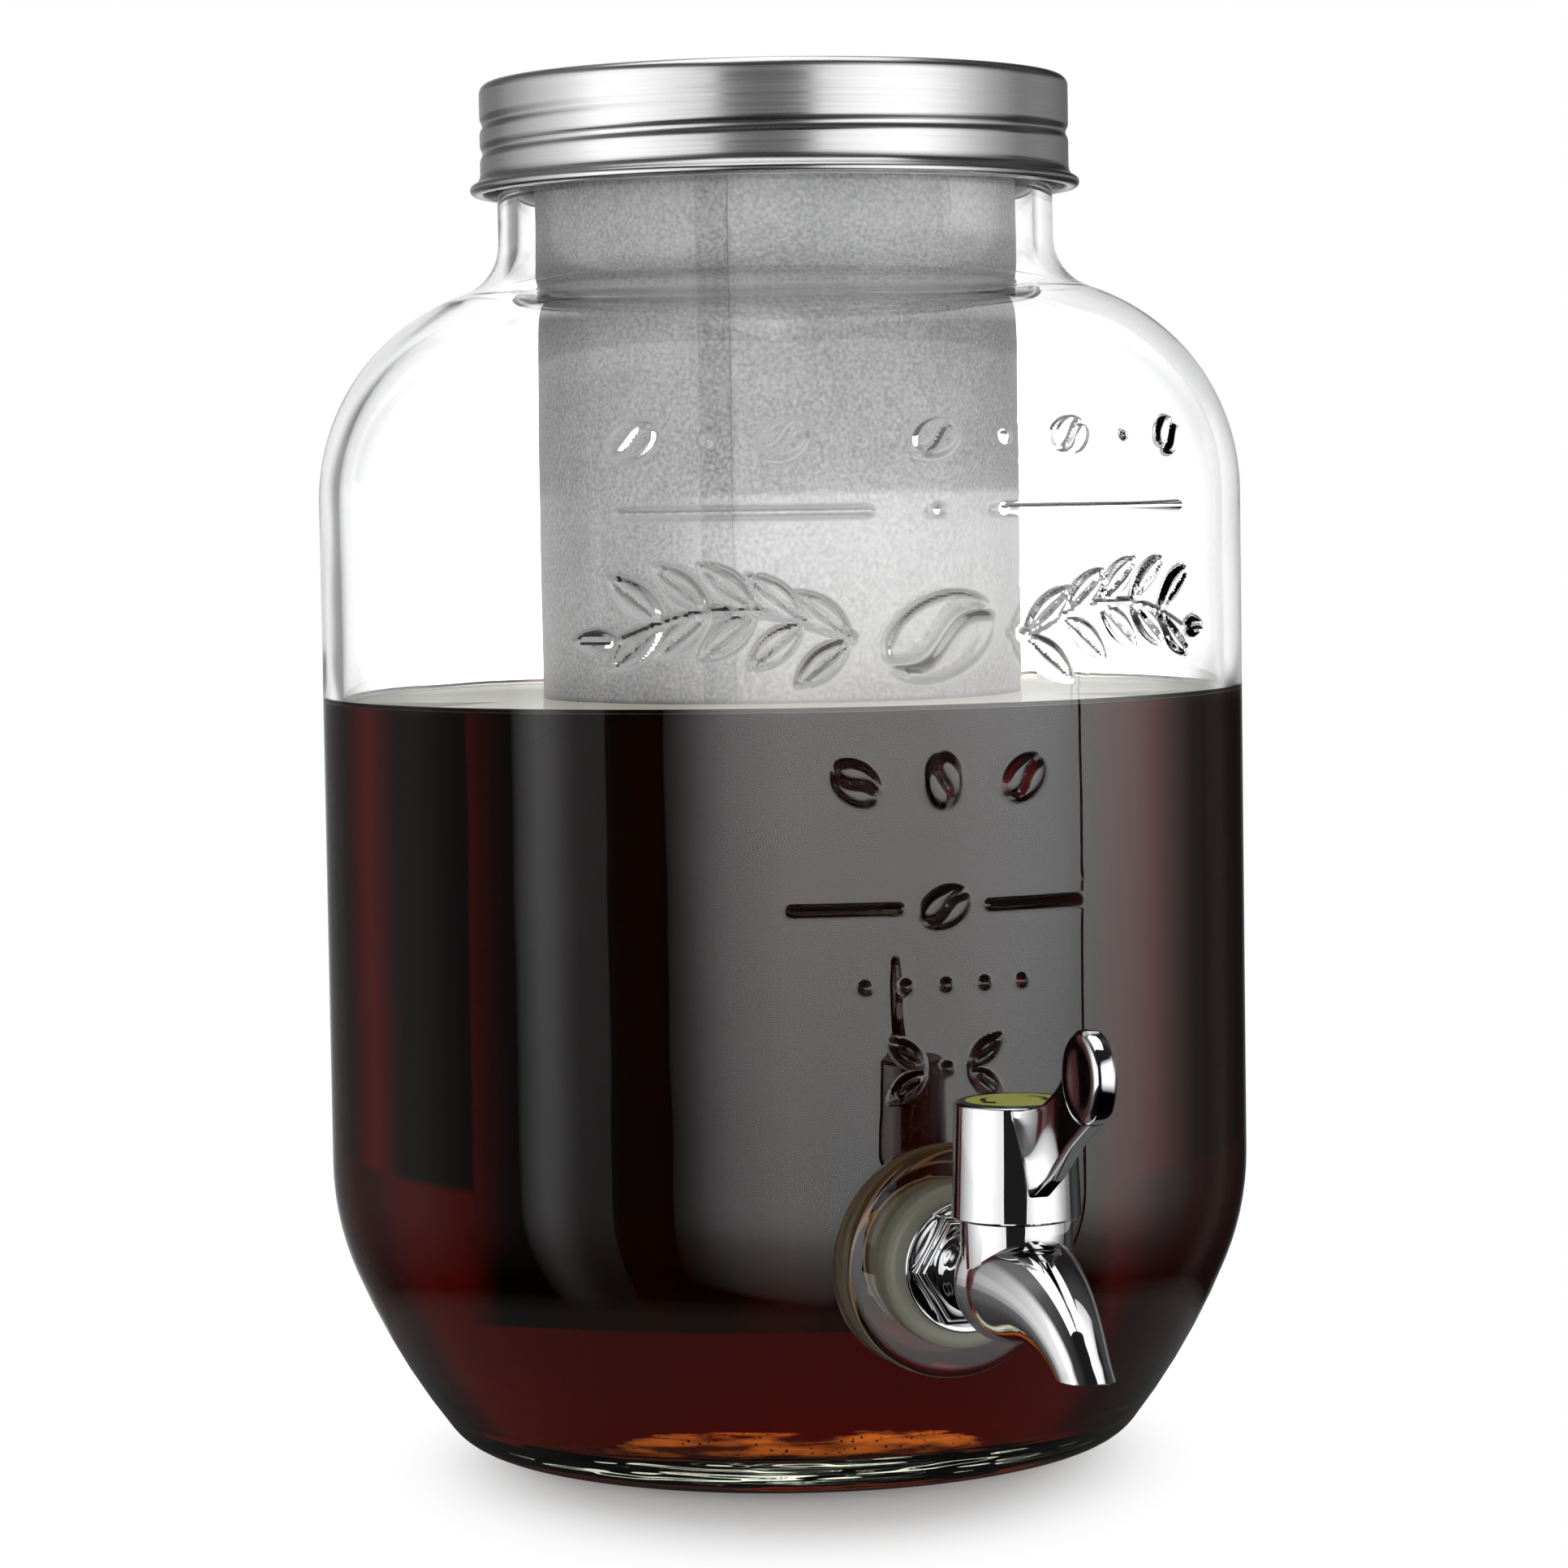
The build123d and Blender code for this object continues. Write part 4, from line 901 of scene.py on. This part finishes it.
# What metal and glass mirror is dim, and darker still near the floor. What shows through the glass is white, with dark
# strips to each side, which differ above and below the eye's height.
mirrored = round_room([
    (-155, 0.012), (-120, 0.05), (-91, 0.09), (-77, 0.18), (-61, 0.14), (-45, 0.08), (-30, 0.09), (-19, 0.17),
    (-12, 0.35), (0, 0.8), (10, 0.15), (18, 0.015), (28, 0.015), (44, 0.05), (56, 0.06), (70, 0.02), (150, 0.012),
])
mirrored = reckon(world, "MULTIPLY", mirrored, remap(world, height, -0.5, -0.2, 0.05, 1.0))
mirrored_above = round_room([(-150, 0), (-115, 0.12), (20, 0.12), (60, 0.22), (115, 0.12), (150, 0)])
upper = remap(world, height, -0.045, -0.032)
low_sky = reckon(world, "MULTIPLY", upper, remap(world, height, 0.20, 0.13))
mirrored = reckon(world, "MULTIPLY_ADD", low_sky, mirrored_above, mirrored)
refracted = round_room([
    (-60, 0.04), (-36, 0.06), (-31, 0.5), (-28, 1.5), (-25, 1.5), (-22, 1.2), (12, 1.2), (15, 0.35),
    (20, 0.08), (31, 0.05), (35, 0.8), (38, 1.5), (42, 0.9), (48, 0.05), (60, 0.04),
])
refracted_above = round_room([
    (-74, 1.15), (-66, 0.12), (-29, 0.12), (-22, 1.15), (31, 1.15), (38, 0.3), (66, 0.3), (74, 1.15),
])
refracted = add_node(world, "ShaderNodeMix", {0: upper, 2: refracted, 3: refracted_above}).outputs[0]
rays = add_node(world, "ShaderNodeLightPath")
mirrored = reckon(world, "MULTIPLY", mirrored, rays.outputs["Is Glossy Ray"])
refracted = reckon(world, "MULTIPLY", refracted, rays.outputs["Is Transmission Ray"])
backdrop = reckon(world, "MULTIPLY_ADD", rays.outputs["Is Diffuse Ray"], 0.55, rays.outputs["Is Camera Ray"])
level = reckon(world, "MAXIMUM", reckon(world, "ADD", mirrored, refracted), backdrop)
light = add_node(world, "ShaderNodeBackground", {"Color": white_light, "Strength": level})
room_output = add_node(world, "ShaderNodeOutputWorld")
link(world, light.outputs["Background"], room_output.inputs["Surface"])


def light_only(lamp, name, pieces):
    """Keeps a lamp off everything but some pieces."""
    group = bpy.data.collections.new(name)
    for piece in pieces:
        group.objects.link(piece)
    lamp.light_linking.receiver_collection = group


def soft_box(name, azimuth, distance, width, low, high, across, upward, lights_up):
    """A rectangular soft box that faces the jar. azimuth is counted from the camera, positive to its right. across and
    upward give its brightness from left to right and its fall-off from its lower to its upper edge."""
    turn = view_turn + radians(azimuth)
    x, y = sin(turn) * distance, -cos(turn) * distance
    bpy.ops.object.light_add(type="AREA", location=(x, y, (low + high) / 2), rotation=(pi / 2, 0, turn))
    box = bpy.context.object
    box.name = name
    box.data.shape = "RECTANGLE"
    box.data.size = width
    box.data.size_y = high - low
    box.data.energy = pi * width * (high - low)
    box.data.use_nodes = True
    spot = add_node(box.data, "ShaderNodeNewGeometry").outputs["Parametric"]
    sideways, up, _ = parts_of(box.data, spot)
    brightest = max(value for _, value in across)
    level = ramp(box.data, sideways, [(share, value / brightest) for share, value in across])
    shine = reckon(box.data, "MULTIPLY", level, ramp(box.data, up, upward))
    lamp = next(n for n in box.data.node_tree.nodes if n.type == "EMISSION")
    link(box.data, reckon(box.data, "MULTIPLY", shine, brightest), lamp.inputs["Strength"])
    box.visible_camera = False
    light_only(box, name + "_lights", lights_up)


meshes = [o for o in bpy.context.scene.objects if o.type == "MESH"]
bright_metal = [tap, handle, lid]
strainer = [sleeve, node["filter_seam_strip"], node["filter_collar"]]
others = [piece for piece in meshes if piece not in bright_metal + strainer]
front_fade = (
    (0, 0), (0.06, 0.07), (0.253, 0.18), (0.4, 0.31), (0.577, 0.7), (0.693, 1), (0.76, 1), (0.80, 0.15), (0.887, 0.05),
    (1, 0),
)
side_fade = ((0, 0), (0.25, 0.01), (0.40, 0.2), (0.577, 0.7), (0.693, 1), (0.767, 1), (0.887, 0.4), (1, 0))
soft_box("glass_box_front", 23.5, 1.0, 2.51, -0.95, 0.55, (
    (0, 0.2), (0.048, 0.5), (0.094, 0.9), (0.135, 1.5), (0.172, 2.0), (0.205, 2.5), (0.265, 2.95), (0.33, 3.4),
    (0.57, 3.4), (0.675, 3.75), (0.767, 3.85), (0.894, 3.45), (1, 2.8),
), front_fade, others)
soft_box("glass_box_side", 105, 1.0, 1.155, -0.95, 0.55, (
    (0, 2.75), (0.147, 2.2), (0.286, 1.6), (0.355, 1.15), (0.427, 0.77), (0.502, 0.5), (0.582, 0.28), (0.672, 0.08),
    (0.776, 0.02), (1, 0),
), side_fade, others)
soft_box("glass_box_left", -54.5, 1.0, 0.443, -0.95, 0.55, (
    (0, 0.05), (0.05, 0.4), (0.156, 0.85), (0.295, 1.35), (0.43, 1.16), (0.561, 0.67), (0.691, 0.38), (1, 0.33),
), front_fade, others)
soft_box("metal_box_left", -74.5, 0.8, 2.16, -0.16, 0.75, (
    (0, 0.10), (0.161, 0.13), (0.254, 0.24), (0.362, 0.44), (0.464, 0.80), (0.529, 1.25), (0.646, 1.25),
    (0.754, 1.05), (0.904, 0.9), (1, 0.9),
), ((0, 0), (0.04, 0.9), (0.1, 1), (0.75, 1), (1, 0)), bright_metal)
soft_box("metal_box_right", 59, 0.8, 1.545, -0.30, 0.75, (
    (0, 0.9), (0.081, 0.95), (0.237, 1.25), (0.436, 1.35), (0.509, 1.2), (0.6, 0.9), (0.699, 0.55), (0.823, 0.25),
    (1, 0.12),
), ((0, 0), (0.3, 1), (0.75, 1), (1, 0)), bright_metal)
soft_box("lid_box", 0, 0.9, 0.8, 0.10, 0.55, ((0, 0.13), (1, 0.13)), ((0, 0.6), (0.2, 1), (1, 1)), [lid])
soft_box("spout_box", 80, 0.7, 0.9, 0.62, 1.6, ((0, 1.1), (0.5, 1.1), (1, 0.6)), ((0, 0.6), (0.15, 1), (1, 1)), [tap])
soft_box("filter_box", -22, 1.0, 3.2, -0.20, 0.62, (
    (0, 4.2), (0.35, 2.3), (0.6, 0.6), (1, 0.2),
), ((0, 0.4), (0.3, 1), (0.55, 1), (0.8, 0.5), (1, 0.3)), strainer)
overhead_size = 0.9
bpy.ops.object.light_add(type="AREA", location=(0, 0, 1.1), rotation=(0, 0, 0))
overhead = bpy.context.object
overhead.name = "overhead_box"
overhead.data.shape = "SQUARE"
overhead.data.size = overhead_size
overhead.data.energy = 1.2 * pi * overhead_size**2
overhead.visible_camera = False
light_only(overhead, "overhead_box_lights", [piece for piece in meshes if piece != jar])


# ---- Camera ----
# A long lens a little above the middle of the jar, left of the tap, and level but for a slight downward look.
distance = 0.873
bpy.ops.object.camera_add(
    location=(-0.3173 * distance, -0.9483 * distance, 0.1725), rotation=(radians(86.5), 0, view_turn)
)
camera = bpy.context.object
camera.rotation_euler.rotate_axis("Z", radians(-0.9))
camera.data.lens = 110.0
camera.data.sensor_width = 36.0
camera.data.sensor_fit = "HORIZONTAL"
camera.data.clip_start = 0.01
bpy.context.scene.camera = camera
bpy.context.scene.view_settings.view_transform = "Standard"
